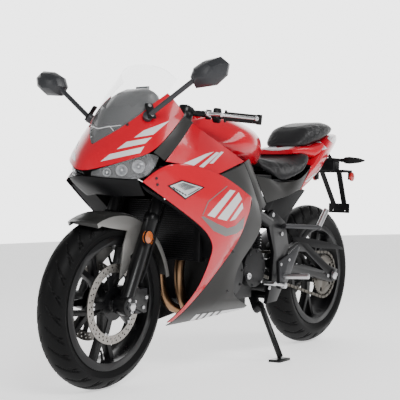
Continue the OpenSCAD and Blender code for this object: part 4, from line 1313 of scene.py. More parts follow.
@dataclass
class Paintwork:
    """Cowl, side panels, tank and tail with their graphics and screws."""

    shop: Workshop
    # Pixels of screws on the panels, with the panel of each
    screws: tuple[tuple[str, float, float], ...] = (
        ("nose_cowl", 127.4, 124.8), ("lower_fairings", 227.6, 291.2),
        ("seat_panels", 273.0, 201.6), ("spar_covers", 263.0, 209.0),
        ("side_fairings", 156.4, 178.4), ("side_fairings", 157.4, 184.6),
        ("lower_fairings", 250.6, 303.6), ("seat_panels", 283.2, 181.4),
        ("lower_fairings", 233.6, 252.0),
    )
    # How far the low front point of the side panels is drawn out
    tip_reach: Point = (50.0, 0.0, -6.0)
    # Where that starts and the length over which it grows, down in z and forward in x
    tip_low: tuple[float, float] = (340.0, 240.0)
    tip_front: tuple[float, float] = (720.0, 160.0)
    tip_bend: float = 1.4
    bridge_sides: int = 40
    # Rows of the hump between the seats: x, top, bottom and half width
    bridge_rows: tuple[tuple[float, float, float, float], ...] = (
        (292.0, 866.0, 846.0, 88.0), (280.0, 873.0, 842.0, 97.0),
        (250.0, 880.0, 844.0, 108.0), (215.0, 885.0, 838.0, 119.0),
        (170.0, 891.0, 828.0, 129.0), (125.0, 900.0, 846.0, 130.0),
        (85.0, 908.0, 880.0, 124.0),
    )

    def build(self) -> None:
        """Skins the panels, darkens their inner faces and lays the films."""
        for node, (finish, core) in PANELS.items():
            self.shop.skin(node, finish, Skin.PANEL)
            if node in ("side_fairings", "lower_fairings"):
                self._reach(node)
            self._darken(node, core)
        self.shop.skin("fuel_tank", RED, Skin.PANEL)
        self.shop.skin("fuel_cap", BRIGHT, Skin.SOLID, 1.2)
        self.shop.skin("windscreen", SCREEN, Skin.PANEL)
        self._bridge()
        for decal in DECALS:
            decal.build(self.shop)
        self._fasten()

    def _bridge(self) -> None:
        """Adds the painted hump between the two seats."""
        verts = []
        for x, top, bottom, half in self.bridge_rows:
            for a in angles(self.bridge_sides):
                # The root draws the round section out towards a box
                u, v = (math.copysign(math.sqrt(abs(c)), c) for c in (math.cos(a), math.sin(a)))
                verts.append(row((x, half * u, 0.5 * (top + bottom) + 0.5 * (top - bottom) * v)))
        faces = ring_faces(len(self.bridge_rows), self.bridge_sides)
        faces += end_caps(len(verts), self.bridge_sides)
        hump = shape("tail_bridge", verts, faces)
        tidy_up(hump)
        smooth(hump, 50)
        self.shop.skins["tail_bridge"] = self.shop.add(hump, "chassis", RED)

    def _reach(self, node: str) -> None:
        """Draws the low front corner of a side panel forward to its full point.

        Args:
            node: The panel.
        """
        skin = self.shop.skins[node].data
        (top, deep), (rear, length) = self.tip_low, self.tip_front
        for vert in skin.vertices:
            spot = TO_UPRIGHT @ vert.co
            low = max(0.0, (top - spot.z) / deep)
            front = min(1.0, max(0.0, (spot.x - rear) / length))
            vert.co = row(spot + Vector(self.tip_reach) * low ** self.tip_bend * front)
        skin.update()

    def _darken(self, node: str, core: tuple[float | None, float]) -> None:
        """Makes a panel's inner faces black.

        Args:
            node: The panel.
            core: The x, or none, and z that the inner faces look at.
        """
        x, z = core

        def inner(middle: Vector, normal: Vector) -> bool:
            """Says whether a face looks towards the core."""
            away = Vector((0.0 if x is None else middle.x - x, middle.y, middle.z - z))
            return normal.dot(away) < 0.0

        self.shop.repaint(node, BLACK_PLASTIC, inner)

    def _fasten(self) -> None:
        """Puts screws on the panels on both sides."""
        spots: list[Spot] = []
        for node, x, y in self.screws:
            ray = PHOTO.ray(x, y)
            point, normal, _, _ = search_tree(self.shop.skins[node]).ray_cast(PHOTO.eye, ray)
            if point is not None:
                out = normal if normal.dot(ray) < 0 else -normal
                spots += both_sides(TO_UPRIGHT @ point, TO_UPRIGHT.to_3x3() @ out)
        self.shop.scatter("panel_screws", "chassis", screw_head(5.0, 2.4), spots, DARK_METAL)


# Nose: lamps, mirrors and instruments


@dataclass
class Nose:
    """Headlamps, turn lamps, screen lining, mirrors and instruments."""

    shop: Workshop
    lamp_out: Point = (0.78, 0.6, 0.12)
    # Least cosine of the lens to that direction, and most of the housing's side walls
    lens_cosine: float = 0.45
    wall_cosine: float = 0.5
    lens_depth: float = 1.4
    # Middle on the lens and radius of each bowl
    bowls: tuple[tuple[float, float, float, float], ...] = (
        (1446.0, 78.0, 733.0, 12.0), (1416.0, 116.0, 741.0, 17.0), (1374.0, 152.0, 754.0, 20.0),
    )
    bowl_depth: float = 12.0
    bowl_inset: float = 19.0
    bulb_r: float = 4.4
    bulb_z: float = 6.0
    # The x and z that the screen's inner faces look at
    screen_core: tuple[float, float] = (1120.0, 820.0)
    rim_cosine: float = 0.3
    lining_top: float = 962.0
    lining_cosine: float = 0.4
    lining_gap: float = 8.0
    lining_depth: float = 1.5
    # Middle of each mirror's glass, half its sides and its rise to the outside
    glass: Point = (1261.2, 361.0, 1060.0)
    glass_half: Point = (62.0, 38.0, 12.0)
    mirror_foot: Point = (1302.0, 137.0, 943.0)
    mirror_foot_out: Point = (0.35, 0.75, 0.56)
    dash_face: Point = (1183.0, 0.0, 980.0)
    dash_out: Point = (-1.0, 0.0, 0.05)

    def build(self) -> None:
        """Builds every piece of the nose."""
        self._headlamps()
        self._turn_lamps()
        self._lining()
        self._mirrors()
        self._dash()

    def _facing(self, y: float) -> Vector:
        """Returns the direction that the lamp on the side of y looks in."""
        x, side, z = self.lamp_out
        return Vector((x, math.copysign(side, y), z))

    def _headlamps(self) -> None:
        """Splits each lamp into a clear lens and a housing with bowls and bulbs."""
        source = self.shop.copy("headlamps", "lamp_source")
        front, shell = [], []
        for face in source.data.polygons:
            middle = TO_UPRIGHT @ face.center
            normal = (TO_UPRIGHT.to_3x3() @ face.normal).normalized()
            outside = normal.dot(self._facing(middle.y)) > self.lens_cosine
            (front if outside else shell).append(tuple(face.vertices))
        verts = [v.co.copy() for v in source.data.vertices]
        bpy.data.objects.remove(source)
        lens = shape("headlamp_lenses", verts, front)
        thicken(lens, self.lens_depth)
        tidy_up(lens)
        smooth(lens, 40)
        self.shop.add(lens, "chassis", LENS, ["headlamps"])
        housing = shape("headlamp_housings", verts, shell)
        smooth(housing, 40)
        self.shop.skins["headlamps"] = self.shop.add(housing, "chassis", LAMP_INSIDE)
        self.shop.repaint("headlamps", GLOSS_BLACK, self._wall)
        self._bowls()

    def _wall(self, middle: Vector, normal: Vector) -> bool:
        """Says whether a face of the housing is one of its side walls."""
        return abs(normal.dot(self._facing(middle.y))) < self.wall_cosine

    def _bowls(self) -> None:
        """Turns the bowls and bulbs inside the lamps."""
        bulb = [
            (self.bulb_r * math.sin(a), self.bulb_z - self.bulb_r * math.cos(a))
            for a in np.linspace(0.1, 3.0, 8)
        ]
        bowls, bulbs = [], []
        for x, y, z, r in self.bowls:
            profile = [(r * k / 6, self.bowl_depth * (k / 6) ** 2) for k in range(1, 7)]
            profile += [(r + 1.6, self.bowl_depth), (r + 1.6, self.bowl_depth - 3.0)]
            for s in (-1, 1):
                level = Vector((self.lamp_out[0], s * self.lamp_out[1], 0.0)).normalized()
                place = toward(Vector((x, s * y, z)) - self.bowl_inset * level, level)
                bowls.append(revolved("bowl", profile, 28, place))
                bulbs.append(revolved("bulb", bulb, 14, place))
        self.shop.add(joined("headlamp_bowls", bowls), "chassis", CHROME)
        self.shop.add(joined("headlamp_bulbs", bulbs), "chassis", WHITE_LENS)

    def _turn_lamps(self) -> None:
        """Lays the turn lamps' rim, lens, bowl and ribs on the side panels."""
        for decal in TURN_LAMP:
            decal.build(self.shop)

    def _away(self, middle: Vector) -> Vector:
        """Returns the direction from the screen's core to a place."""
        x, z = self.screen_core
        return Vector((middle.x - x, middle.y, middle.z - z)).normalized()

    def _lining(self) -> None:
        """Adds the dark lining behind the lower part of the screen."""
        source = self.shop.skins["windscreen"].data
        faces = []
        for face in source.polygons:
            middle = TO_UPRIGHT @ face.center
            normal = (TO_UPRIGHT.to_3x3() @ face.normal).normalized()
            inner = normal.dot(self._away(middle)) < -self.lining_cosine
            if inner and middle.z < self.lining_top:
                faces.append(tuple(face.vertices))
        lining = shape("screen_lining", [v.co for v in source.vertices], faces)
        with edited(lining) as mesh:
            loose = [v for v in mesh.verts if not v.link_faces]
            bmesh.ops.delete(mesh, geom=loose, context="VERTS")
            mesh.normal_update()
            for vert in mesh.verts:
                vert.co += vert.normal * self.lining_gap * MM
        thicken(lining, self.lining_depth)
        smooth(lining, 50)
        self.shop.add(lining, "chassis", DARK_PLASTIC)
        self.shop.repaint("windscreen", SCREEN_EDGE, self._rim)

    def _rim(self, middle: Vector, normal: Vector) -> bool:
        """Says whether a face of the screen is on its cut edge."""
        return abs(normal.dot(self._away(middle))) < self.rim_cosine

    def _mirrors(self) -> None:
        """Skins the mirrors and adds their glass, feet and screws."""
        self.shop.skin("mirrors", MIRROR_SHELL, Skin.SOLID, 2.0)
        corners = (
            (-0.7, -0.8), (0.3, -1), (0.9, -0.5), (1, 0.3),
            (0.6, 0.9), (-0.2, 1), (-0.8, 0.7), (-1, 0),
        )
        x, y, z = self.glass
        wide, high, rise = self.glass_half
        panes, feet, spots = [], [], []
        for s in (-1, 1):
            rim = [row((x, s * (y + wide * p), z + high * q + rise * p)) for p, q in corners]
            panes.append(shape("pane", rim, [tuple(range(len(rim)))[::s]]))
            out = Vector((1, s, 1)) * Vector(self.mirror_foot_out)
            place = toward(Vector((1, s, 1)) * Vector(self.mirror_foot), out)
            feet.append(block("foot", (30.0, 62.0, 9.0), place, 4.0))
            spots += [(TO_UPRIGHT @ place @ Vector((0.0, k * 20.0, 4.0)), out) for k in (-1, 1)]
        self.shop.add(joined("mirror_glass", panes), "chassis", GLASS)
        self.shop.add(joined("mirror_feet", feet), "chassis", BLACK_PLASTIC)
        self.shop.scatter("mirror_screws", "chassis", screw_head(6.5, 3.0), spots, BRIGHT)

    def _dash(self) -> None:
        """Adds the display and two round dials to the instruments."""
        self.shop.skin("dash", DARK_PLASTIC, Skin.SOLID, 4.0)
        face = toward(self.dash_face, self.dash_out)
        self.shop.add(block("dash_display", (62.0, 128.0, 3.0), face, 1.2), "chassis", DISPLAY)
        profile = [(24, 0), (27, 3), (27, 5), (24, 5), (23, 3), (0.5, 2.4)]
        dials = [
            revolved("dial", profile, 40, face @ Matrix.Translation((0, s * 32, 1)))
            for s in (-1, 1)
        ]
        self.shop.add(joined("dash_dials", dials), "chassis", DARK_METAL)


# Wheels


@dataclass
class Wheel:
    """One wheel: tyre with cut grooves, rim, valve and brake rings.

    Args:
        shop: The workshop.
        end: Front or rear, as in the nodes' names.
        place: Matrix from the wheel's own millimetres, with its axle along Y, to the row frame.
        radius: Outer radius of the tyre.
        width: Width of the tyre.
        rim_width: Inner width of the rim.
        discs: Distance of each brake disc from the middle.
        disc: Outer and inner radius of the brake ring.
        disc_node: The CAD node of the discs.
    """

    shop: Workshop
    end: str
    place: Matrix
    radius: float
    width: float
    rim_width: float
    discs: tuple[float, ...]
    disc: tuple[float, float]
    disc_node: str
    bead: float = 218.0
    # Grooves: their number on each side, depth, and ends as shares of the half tread
    grooves: int = 26
    groove_depth: float = 3.6
    groove_in: float = 0.10
    groove_out: float = 0.86
    short_in: float = 0.40
    # Slant and half width of the long and short grooves, in shares of their spacing
    long_slant: float = 1.5
    short_slant: float = 0.7
    short_shift: float = 0.35
    long_half: float = 0.07
    short_half: float = 0.05
    # Steepness of the grooves' sides, and the shares over which their ends run out
    groove_side: float = 2.2
    run_in: float = 0.05
    run_out: float = 0.08
    # Mesh steps around and across the tread, and the angle to which the section is round
    around: int = 640
    across: int = 44
    crown: float = 80.0
    disc_thick: float = 4.5
    hole_r: float = 3.3
    holes: int = 34

    def build(self) -> None:
        """Builds every piece of the wheel."""
        self._tyre()
        self.shop.skin(f"{self.end}_rim", BLACK_METAL, Skin.SOLID, 1.6)
        self._rings()
        self._valve()

    def groove(self, angle: float, share: float) -> float:
        """Returns the depth of the tread at a place.

        Args:
            angle: Angle around the wheel.
            share: Place across the tread, from -1 to 1.

        Returns:
            The depth in millimetres.
        """
        reach = abs(share)
        if not self.groove_in < reach < self.groove_out:
            return 0.0
        turn = angle * self.grooves / (2 * math.pi) + (0.5 if share < 0 else 0.0)
        long_off = abs((turn + self.long_slant * reach) % 1.0 - 0.5)
        short_off = abs((turn + self.short_shift + self.short_slant * reach) % 1.0 - 0.5)
        cut = max(0.0, 1.0 - long_off / self.long_half)
        if reach > self.short_in:
            cut = max(cut, 1.0 - short_off / self.short_half)
        ends = min(
            1.0, (reach - self.groove_in) / self.run_in, (self.groove_out - reach) / self.run_out
        )
        return self.groove_depth * min(1.0, self.groove_side * cut) * ends

    def _tyre(self) -> None:
        """Revolves the tyre's section with its grooves."""
        half, seat = self.width / 2, self.rim_width / 2
        side = [(self.bead + 2, 1 - seat), (self.bead + 12, -3 - seat), (self.bead + 24, 4 - half)]
        other = [(r, -y) for r, y in reversed(side)]
        verts: list[Vector] = []
        for a in angles(self.around):
            tread = []
            for k in range(self.across + 1):
                share = 2 * k / self.across - 1
                t = math.radians(self.crown * share)
                r = half - self.groove(a, share)
                tread.append((self.radius - half + r * math.cos(t), r * math.sin(t)))
            for r, y in side + tread + other:
                verts.append(self.place @ Vector((r * math.cos(a), y, r * math.sin(a))))
        faces = ring_faces(self.around, len(verts) // self.around, looped=True)
        obj = shape(f"{self.end}_tyre_tread", verts, faces)
        tidy_up(obj)
        smooth(obj, 30)
        self.shop.add(obj, self.shop.body(f"{self.end}_tyre"), TYRE, [f"{self.end}_tyre"])

    def _rings(self) -> None:
        """Builds the drilled brake rings on their dark carriers, with buttons between."""
        outer, inner = self.disc
        thick = self.disc_thick
        rotor = rotor_tree()
        lengths = {"Outer": outer, "Inner": inner, "Thick": thick, "Hole": self.hole_r}
        values = {key: length * MM for key, length in lengths.items()}
        upright = Matrix.Rotation(-math.pi / 2, 4, "X") @ Matrix.Scale(1 / MM, 4)
        rings = []
        for y in self.discs:
            ring = shape("ring", [(0, 0, 0)], [])
            rotor.run(ring, {**values, "Holes": self.holes, "Material": DISC_STEEL.material()})
            ring.data.transform(self.place @ Matrix.Translation((0, y - thick / 2, 0)) @ upright)
            rings.append(ring)
        body = self.shop.body(self.disc_node)
        self.shop.add(joined(f"{self.disc_node}_rings", rings), body, DISC_STEEL)
        self._carriers(body, inner - 1.5)
        spots = []
        for y in self.discs:
            side = math.copysign(1.0, y)
            for a in (math.radians(72 * k + d) for k in range(5) for d in (-4, 4)):
                r = inner - 1
                place = (r * math.cos(a), y + side * thick / 2, r * math.sin(a))
                spots.append((place, (0.0, side, 0.0)))
        buttons = f"{self.end}_disc_buttons"
        self.shop.scatter(buttons, body, screw_head(5.0, 2.2), spots, BRIGHT, self.place)

    def _carriers(self, body: str, reach: float) -> None:
        """Keeps the CAD discs' inner part as the carriers.

        Args:
            body: The body they ride on.
            reach: Radius past which a face belongs to the ring.
        """
        carrier = self.shop.copy(self.disc_node, f"{self.disc_node}_carriers")
        back = self.place.inverted()
        with edited(carrier) as mesh:
            far = {v for v in mesh.verts if (back @ v.co).xz.length > reach}
            ring = [f for f in mesh.faces if far.issuperset(f.verts)]
            bmesh.ops.delete(mesh, geom=ring, context="FACES")
        smooth(carrier, 30)
        self.shop.add(carrier, body, BLACK_METAL, [self.disc_node])

    def _valve(self) -> None:
        """Adds the valve stem on the inside of the rim."""
        root = Matrix.Translation((0, 8, 18 - self.bead)) @ Matrix.Rotation(0.25, 4, "X")
        profile = [(0.3, 38), (3.0, 38), (3.6, 34), (3.6, 26), (2.6, 24), (4.4, 6), (6.5, 0)]
        stem = revolved(f"{self.end}_valve", profile, 16, self.place @ root)
        self.shop.add(stem, self.shop.body(f"{self.end}_rim"), BLACK_PLASTIC)


# Steering


@dataclass
class Steering:
    """Fork, fender, bars and their controls."""

    shop: Workshop
    bar_in: Point = (-5.0, 92.0, 738.6)
    bar_out: Point = (-116.0, 322.0, 770.4)
    grip_length: float = 122.0
    ribs: int = 16
    rib_step: float = 6.4
    # Place of the switch boxes as a share of the way from the clamp to the bar's end
    switch_share: float = 0.435
    # Radius within which the fender's faces are its pale legs, and their least distance aside
    leg_reach: float = 290.0
    leg_side: float = 56.0
    # Distance aside up to which the levers are black, on the left and on the right
    perch_side: tuple[float, float] = (172.0, 190.0)
    reflector: Point = (30.0, 129.2, 238.0)

    def build(self) -> None:
        """Skins the steering's nodes and adds its small pieces."""
        for node, finish in (
            ("triple_clamps", BLACK_METAL), ("fork_tubes", BLACK_METAL),
            ("fork_sliders", BLACK_METAL), ("handlebars", BLACK_METAL), ("grips", GRIP),
            ("hand_levers", BRIGHT), ("brake_hoses", BLACK_PLASTIC), ("front_fender", CHARCOAL),
            ("front_calipers", DARK_METAL), ("front_axle", BRIGHT), ("fork_reflectors", AMBER),
        ):
            self.shop.skin(node, finish, Skin.SOLID)
        self.shop.repaint("front_fender", LEG_SILVER, self._leg, STANCE.front_wheel_to_row)
        self.shop.repaint("hand_levers", BLACK_METAL, self._perch, STANCE.fork_to_row)
        self._grip_ribs()
        self._switches()
        self._bolts()
        self._facets()

    def _leg(self, middle: Vector, normal: Vector) -> bool:
        """Says whether a face of the fender is on its pale legs."""
        return middle.xz.length < self.leg_reach and abs(middle.y) > self.leg_side

    def _perch(self, middle: Vector, normal: Vector) -> bool:
        """Says whether a face of the levers is on a perch, or on the right side's reservoir."""
        left, right = self.perch_side
        return -right < middle.y < left

    def _grip_ribs(self) -> None:
        """Rings the grips with fine ribs."""
        end = Vector(self.bar_out)
        out = (end - Vector(self.bar_in)).normalized()
        spots: list[Spot] = []
        for k in range(self.ribs):
            spots += both_sides(end - out * (self.grip_length - 16 - self.rib_step * k), out)
        rib = ring_piece(16.6, 0.9)
        self.shop.scatter("grip_ribs", "steering", rib, spots, GRIP, STANCE.fork_to_row)

    def _switches(self) -> None:
        """Adds the switch boxes inside the grips, with their buttons."""
        start, end = Vector(self.bar_in), Vector(self.bar_out)
        boxes, buttons = [], []
        for spot, out in both_sides(start.lerp(end, self.switch_share), end - start):
            turn = Vector(out).to_track_quat("Z", "X").to_matrix().to_4x4()
            place = STANCE.fork_to_row @ Matrix.Translation(spot) @ turn
            boxes.append(block("switch", (46.0, 40.0, 30.0), place, 7.0))
            for size, shift in (((12.0, 6.0, 9.0), (-14, 20, 2)), ((9.0, 6.0, 12.0), (8, 20, -2))):
                buttons.append(block("button", size, place @ Matrix.Translation(shift), 2.0))
        self.shop.add(joined("switch_boxes", boxes), "steering", BLACK_PLASTIC)
        self.shop.add(joined("switch_buttons", buttons), "steering", DARK_PLASTIC)

    def _bolts(self) -> None:
        """Adds the fork's top caps, the axle and caliper bolts and the fender's plugs."""
        fork, wheel = STANCE.fork_to_row, STANCE.front_wheel_to_row
        caps = both_sides((0.0, 92.0, 755.0), (0.0, 0.0, 1.0))
        self.shop.scatter("fork_caps", "steering", screw_head(15.0, 7.0), caps, BRIGHT, fork)
        bolts: list[Spot] = []
        for place in (
            (-16.0, 117.2, -14.0), (14.0, 117.2, 16.0),
            (-112.0, 83.2, 32.0), (-112.0, 83.2, 68.0), (-60.0, 83.2, 34.0),
        ):
            bolts += both_sides(place)
        self.shop.scatter("fork_bolts", "steering", screw_head(6.5, 4.0), bolts, BRIGHT, fork)
        plugs, plug = both_sides((-68.0, 64.2, 158.0)), screw_head(11.0, 4.0)
        self.shop.scatter("fender_plugs", "steering", plug, plugs, BLACK_PLASTIC, wheel)

    def _facets(self) -> None:
        """Adds the faceted faces of the round reflectors, and their rims."""
        facet = [(0.4, 2.4), (10, 1.0), (10.2, 1.6), (19, 0.6), (19.4, 1.4), (21.4, 0.2)]
        rim = [(21.0, -4.0), (24.6, -4.0), (25.0, 0.6), (23.4, 1.4), (21.2, 0.8)]
        facets, rims = [], []
        for s in (-1, 1):
            spot = Matrix.Translation(Vector((1, s, 1)) * Vector(self.reflector))
            place = STANCE.fork_to_row @ spot @ Matrix.Rotation(-s * math.pi / 2, 4, "X")
            facets.append(revolved("facet", facet, 12, place))
            rims.append(revolved("rim", rim, 36, place))
        self.shop.add(joined("reflector_facets", facets), "steering", AMBER)
        self.shop.add(joined("reflector_rims", rims), "steering", BLACK_PLASTIC)


# Seats


@dataclass
class Seats:
    """Two padded seats, swelled by a cloth simulation, with stitches."""

    shop: Workshop
    voxel: float = 6.0
    pressure: float = 4.0
    cap: float = 6.0
    # From this x on, in millimetres, the pillion pad is drawn back by this share
    pillion_front: tuple[float, float] = (170.0, 0.4)
    fill: float = 0.85
    frames: int = 20
    # Stitches: their number, and the ring in metres around the seat that they are cast from
    stitches: int = 220
    cast_from: Point = (0.4, 0.3, 0.10)
    thread_lift: float = 0.6

    def build(self) -> None:
        """Builds both seats."""
        for node, seam_z in (("rider_seat", 0.30), ("pillion_seat", 0.42)):
            self._pad(node)
            self._stitches(node, seam_z)

    def _pad(self, node: str) -> None:
        """Swells one seat from its slightly smaller solid.

        Args:
            node: The CAD node of the seat.
        """
        obj = self.shop.copy(node, node + "_pad")
        fine = obj.modifiers.new("fine", "REMESH")
        fine.mode = "VOXEL"
        fine.voxel_size = self.voxel * MM
        bake(obj)
        soften = obj.modifiers.new("soften", "SMOOTH")
        soften.iterations = 6
        soften.factor = 0.5
        bake(obj)
        self._swell(obj)
        if node == "pillion_seat":
            self._draw_back(obj)
        finer = obj.modifiers.new("finer", "SUBSURF")
        finer.levels = finer.render_levels = 1
        bake(obj)
        smooth(obj, 60)
        self.shop.add(obj, "chassis", VINYL, [node])
        self.shop.skins[node] = obj

    def _draw_back(self, obj: bpy.types.Object) -> None:
        """Shortens the front of the pillion pad.

        Args:
            obj: The pad.
        """
        start, share = self.pillion_front
        for vert in obj.data.vertices:
            spot = TO_UPRIGHT @ vert.co
            spot.x -= share * max(0.0, spot.x - start)
            vert.co = row(spot)
        obj.data.update()

    def _swell(self, obj: bpy.types.Object) -> None:
        """Runs the cloth under pressure and keeps the capped result.

        Args:
            obj: The pad.
        """
        rest = np.array([v.co[:] for v in obj.data.vertices])
        cloth = obj.modifiers.new("cloth", "CLOTH")
        cloth.settings.use_pressure = True
        cloth.settings.uniform_pressure_force = self.pressure
        cloth.settings.effector_weights.gravity = 0.0
        scene = bpy.context.scene
        for frame in range(1, self.frames + 1):
            scene.frame_set(frame)
        swelled = obj.evaluated_get(bpy.context.evaluated_depsgraph_get())
        moved = np.array([v.co[:] for v in swelled.data.vertices])
        obj.modifiers.clear()
        scene.frame_set(1)
        step = moved - rest
        size = np.linalg.norm(step, axis=1, keepdims=True)
        step *= np.minimum(1.0, self.cap * MM / np.maximum(size, 1e-9))
        obj.data.vertices.foreach_set("co", (rest + step).ravel())
        obj.data.update()

    def _stitches(self, node: str, level: float) -> None:
        """Sews a line of stitches around a seat's side.

        Args:
            node: The seat.
            level: Height of the seam as a share of the seat's height.
        """
        tree = search_tree(self.shop.skins[node])
        low, high = (Vector(corner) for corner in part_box(node))
        tall = high.z - low.z
        heart = (low + high) / 2
        heart.z = low.z + 0.55 * tall
        start = Vector((heart.x, heart.y, low.z + (0.35 + level) * tall))
        wide, deep, rise = self.cast_from
        seam = []
        for a in angles(self.stitches):
            eye = start + Vector((math.cos(a) * wide, math.sin(a) * deep, rise))
            point, normal, _, _ = tree.ray_cast(eye, (heart - eye).normalized())
            if point is not None:
                seam.append(point + normal * self.thread_lift * MM)
        spots = [(seam[i], seam[(i + 1) % len(seam)] - seam[i - 1]) for i in range(len(seam))]
        stitch = block("stitch", (0.9, 0.9, 4.2), Matrix.Scale(MM, 4), 0.35)
        self.shop.scatter(f"{node}_stitches", "chassis", stitch, spots, THREAD, Matrix.Identity(4))


# Engine, drive and frame

# Finish of each node that keeps its CAD form
SOLIDS: dict[str, Finish] = {
    "main_frame": BLACK_METAL,
    "subframe": BLACK_METAL,
    "engine": ENGINE_BLACK,
    "radiator": BLACK_METAL,
    "exhaust": HEADER,
    "muffler": DARK_METAL,
    "side_covers": BLACK_PLASTIC,
    "under_tray": BLACK_PLASTIC,
    "tail_lamp": RED_LENS,
    "plate_hanger": BLACK_PLASTIC,
    "rear_signals": BLACK_PLASTIC,
    "side_reflectors": RED_LENS,
    "swing_arm": BLACK_METAL,
    "rear_axle": BRIGHT,
    "rear_shock": DARK_METAL,
    "chain_guard": BLACK_PLASTIC,
    "peg_brackets": DARK_METAL,
    "passenger_pegs": BRIGHT,
    "foot_levers": BRIGHT,
    "rear_caliper": DARK_METAL,
    "rear_sprocket": CHAIN_STEEL,
    "side_stand": BLACK_METAL,
}


@dataclass
class Drive:
    """Frame, engine, radiator, exhaust, swing arm and chain."""

    shop: Workshop
    chain_y: float = 90.0
    rear_ring: float = 101.5
    # The x, z and radius of the chain around the front sprocket
    front_sprocket: Point = (560.0, 395.0, 42.5)
    pitch: float = 15.875
    # Chain link: radii of plate ends and rollers, the plates' near faces and thickness
    plate_r: float = 5.6
    roller_r: float = 4.6
    roller_half: float = 7.4
    plates_y: tuple[float, float] = (-6.9, 5.3)
    plate_t: float = 1.6
    # Width of each second link as a share
    narrow: float = 0.7
    # Middle, size and edge radius of the air box and of the pans under seat and tank
    pans: tuple[tuple[Point, Point, float], ...] = (
        ((655.0, 0.0, 550.0), (190.0, 116.0, 150.0), 14.0),
        ((400.0, 0.0, 712.0), (260.0, 262.0, 46.0), 8.0),
        ((575.0, 0.0, 722.0), (130.0, 250.0, 56.0), 8.0),
        ((800.0, 0.0, 750.0), (360.0, 220.0, 60.0), 8.0),
    )
    # Radiator fins: x, lowest z, step and number
    fins: tuple[float, float, float, int] = (1059.2, 434.0, 8.0, 26)
    # Bolts around the engine's covers: x, z and radius of the circle, y and number
    cover_bolts: tuple[tuple[float, float, float, float, int], ...] = (
        (820.0, 366.0, 80.0, 146.2, 9), (640.0, 380.0, 68.0, 138.2, 8),
        (800.0, 366.0, 92.0, -150.2, 10), (640.0, 380.0, 63.0, -136.2, 8),
    )
    engine_plug: Point = (692.0, 139.0, 352.0)
    # Lower and upper end of the shock's coil, its radius and turns
    coil: tuple[Point, Point, float, int] = ((450.0, 0.0, 448.0), (450.0, 0.0, 512.0), 33.5, 5)
    # Distance aside past which the peg brackets are bright, and height below which pegs are dark
    bracket_side: float = 172.0
    peg_top: float = 556.0

    def build(self) -> None:
        """Skins the nodes and adds the chain, fins, bolts and springs."""
        for node, finish in SOLIDS.items():
            self.shop.skin(node, finish, Skin.SOLID)
        self.shop.repaint("peg_brackets", BRIGHT, lambda m, _: abs(m.y) > self.bracket_side)
        self.shop.repaint("passenger_pegs", DARK_METAL, lambda m, _: m.z < self.peg_top)
        self._chain()
        self._fins()
        self._engine_bolts()
        self._coil()
        self._plugs()
        self._pans()

    def _pans(self) -> None:
        """Adds the air box and the pans under seat and tank."""
        pans = [
            block("pan", size, UPRIGHT @ Matrix.Translation(place), bevel)
            for place, size, bevel in self.pans
        ]
        self.shop.add(joined("seat_and_tank_pans", pans), "chassis", BLACK_PLASTIC)

    def _path(self) -> list[tuple[float, float]]:
        """Returns the closed line of the chain's middle in x and z."""
        x, z, r2 = self.front_sprocket
        r1, rear_z = self.rear_ring, STANCE.rear_r
        slope = math.atan2(z - rear_z, x)
        wrap = math.acos((r1 - r2) / math.hypot(x, z - rear_z))
        rear = [slope + wrap + (2 * math.pi - 2 * wrap) * k / 60 for k in range(61)]
        front = [slope - wrap + 2 * wrap * k / 24 for k in range(25)]
        return [(r1 * math.cos(a), rear_z + r1 * math.sin(a)) for a in rear] + [
            (x + r2 * math.cos(a), z + r2 * math.sin(a)) for a in front]

    def _link(self) -> bpy.types.Object:
        """Returns one chain link in metres: two waisted plates and two rollers."""
        outline = []
        for end, start in ((1, -90.0), (-1, 90.0)):
            for k in range(9):
                a = math.radians(start + 22.5 * k)
                x = end * self.pitch / 2 + self.plate_r * math.cos(a)
                outline.append((x, self.plate_r * math.sin(a)))
        verts: list[Point] = []
        faces: list[tuple[int, ...]] = []
        for y in self.plates_y:
            self._prism(outline, y, y + self.plate_t, verts, faces)
        for end in (1, -1):
            middle = end * self.pitch / 2
            roller = [
                (middle + self.roller_r * math.cos(a), self.roller_r * math.sin(a))
                for a in angles(12)
            ]
            self._prism(roller, -self.roller_half, self.roller_half, verts, faces)
        return shape("chain_link", verts, faces)

    @staticmethod
    def _prism(
        outline: Sequence[tuple[float, float]],
        near: float,
        far: float,
        verts: list[Point],
        faces: list[tuple[int, ...]],
    ) -> None:
        """Adds a closed prism along Y to a mesh.

        Args:
            outline: Corners in x and z, in millimetres.
            near: First y.
            far: Last y.
            verts: Points so far, in metres.
            faces: Faces so far.
        """
        first, sides = len(verts), len(outline)
        verts += [(x * MM, y * MM, z * MM) for y in (near, far) for x, z in outline]
        faces += ring_faces(2, sides, first)
        faces += [tuple(first + k for k in face) for face in end_caps(2 * sides, sides)]

    def _chain(self) -> None:
        """Lays the links around both sprockets with geometry nodes."""
        points = [Vector((x * MM, self.chain_y * MM, z * MM)) for x, z in self._path()]
        length = sum((b - a).length for a, b in zip(points, points[1:] + points[:1])) / MM
        links = 2 * round(length / self.pitch / 2)
        mesh = bpy.data.meshes.new("chain_path")
        count = len(points)
        edges = [(k, (k + 1) % count) for k in range(count)]
        mesh.from_pydata([tuple(p) for p in points], edges, [])
        obj = link_mesh("chain_links", mesh)
        link = self._link()
        values = {"Link": link, "Links": links, "Narrow": self.narrow}
        chain_tree().run(obj, {**values, "Material": CHAIN_STEEL.material()})
        bpy.data.objects.remove(link)
        obj.data.transform(UPRIGHT @ Matrix.Scale(1 / MM, 4))
        tidy_up(obj)
        smooth(obj)
        self.shop.add(obj, "chassis", CHAIN_STEEL, ["chain"])

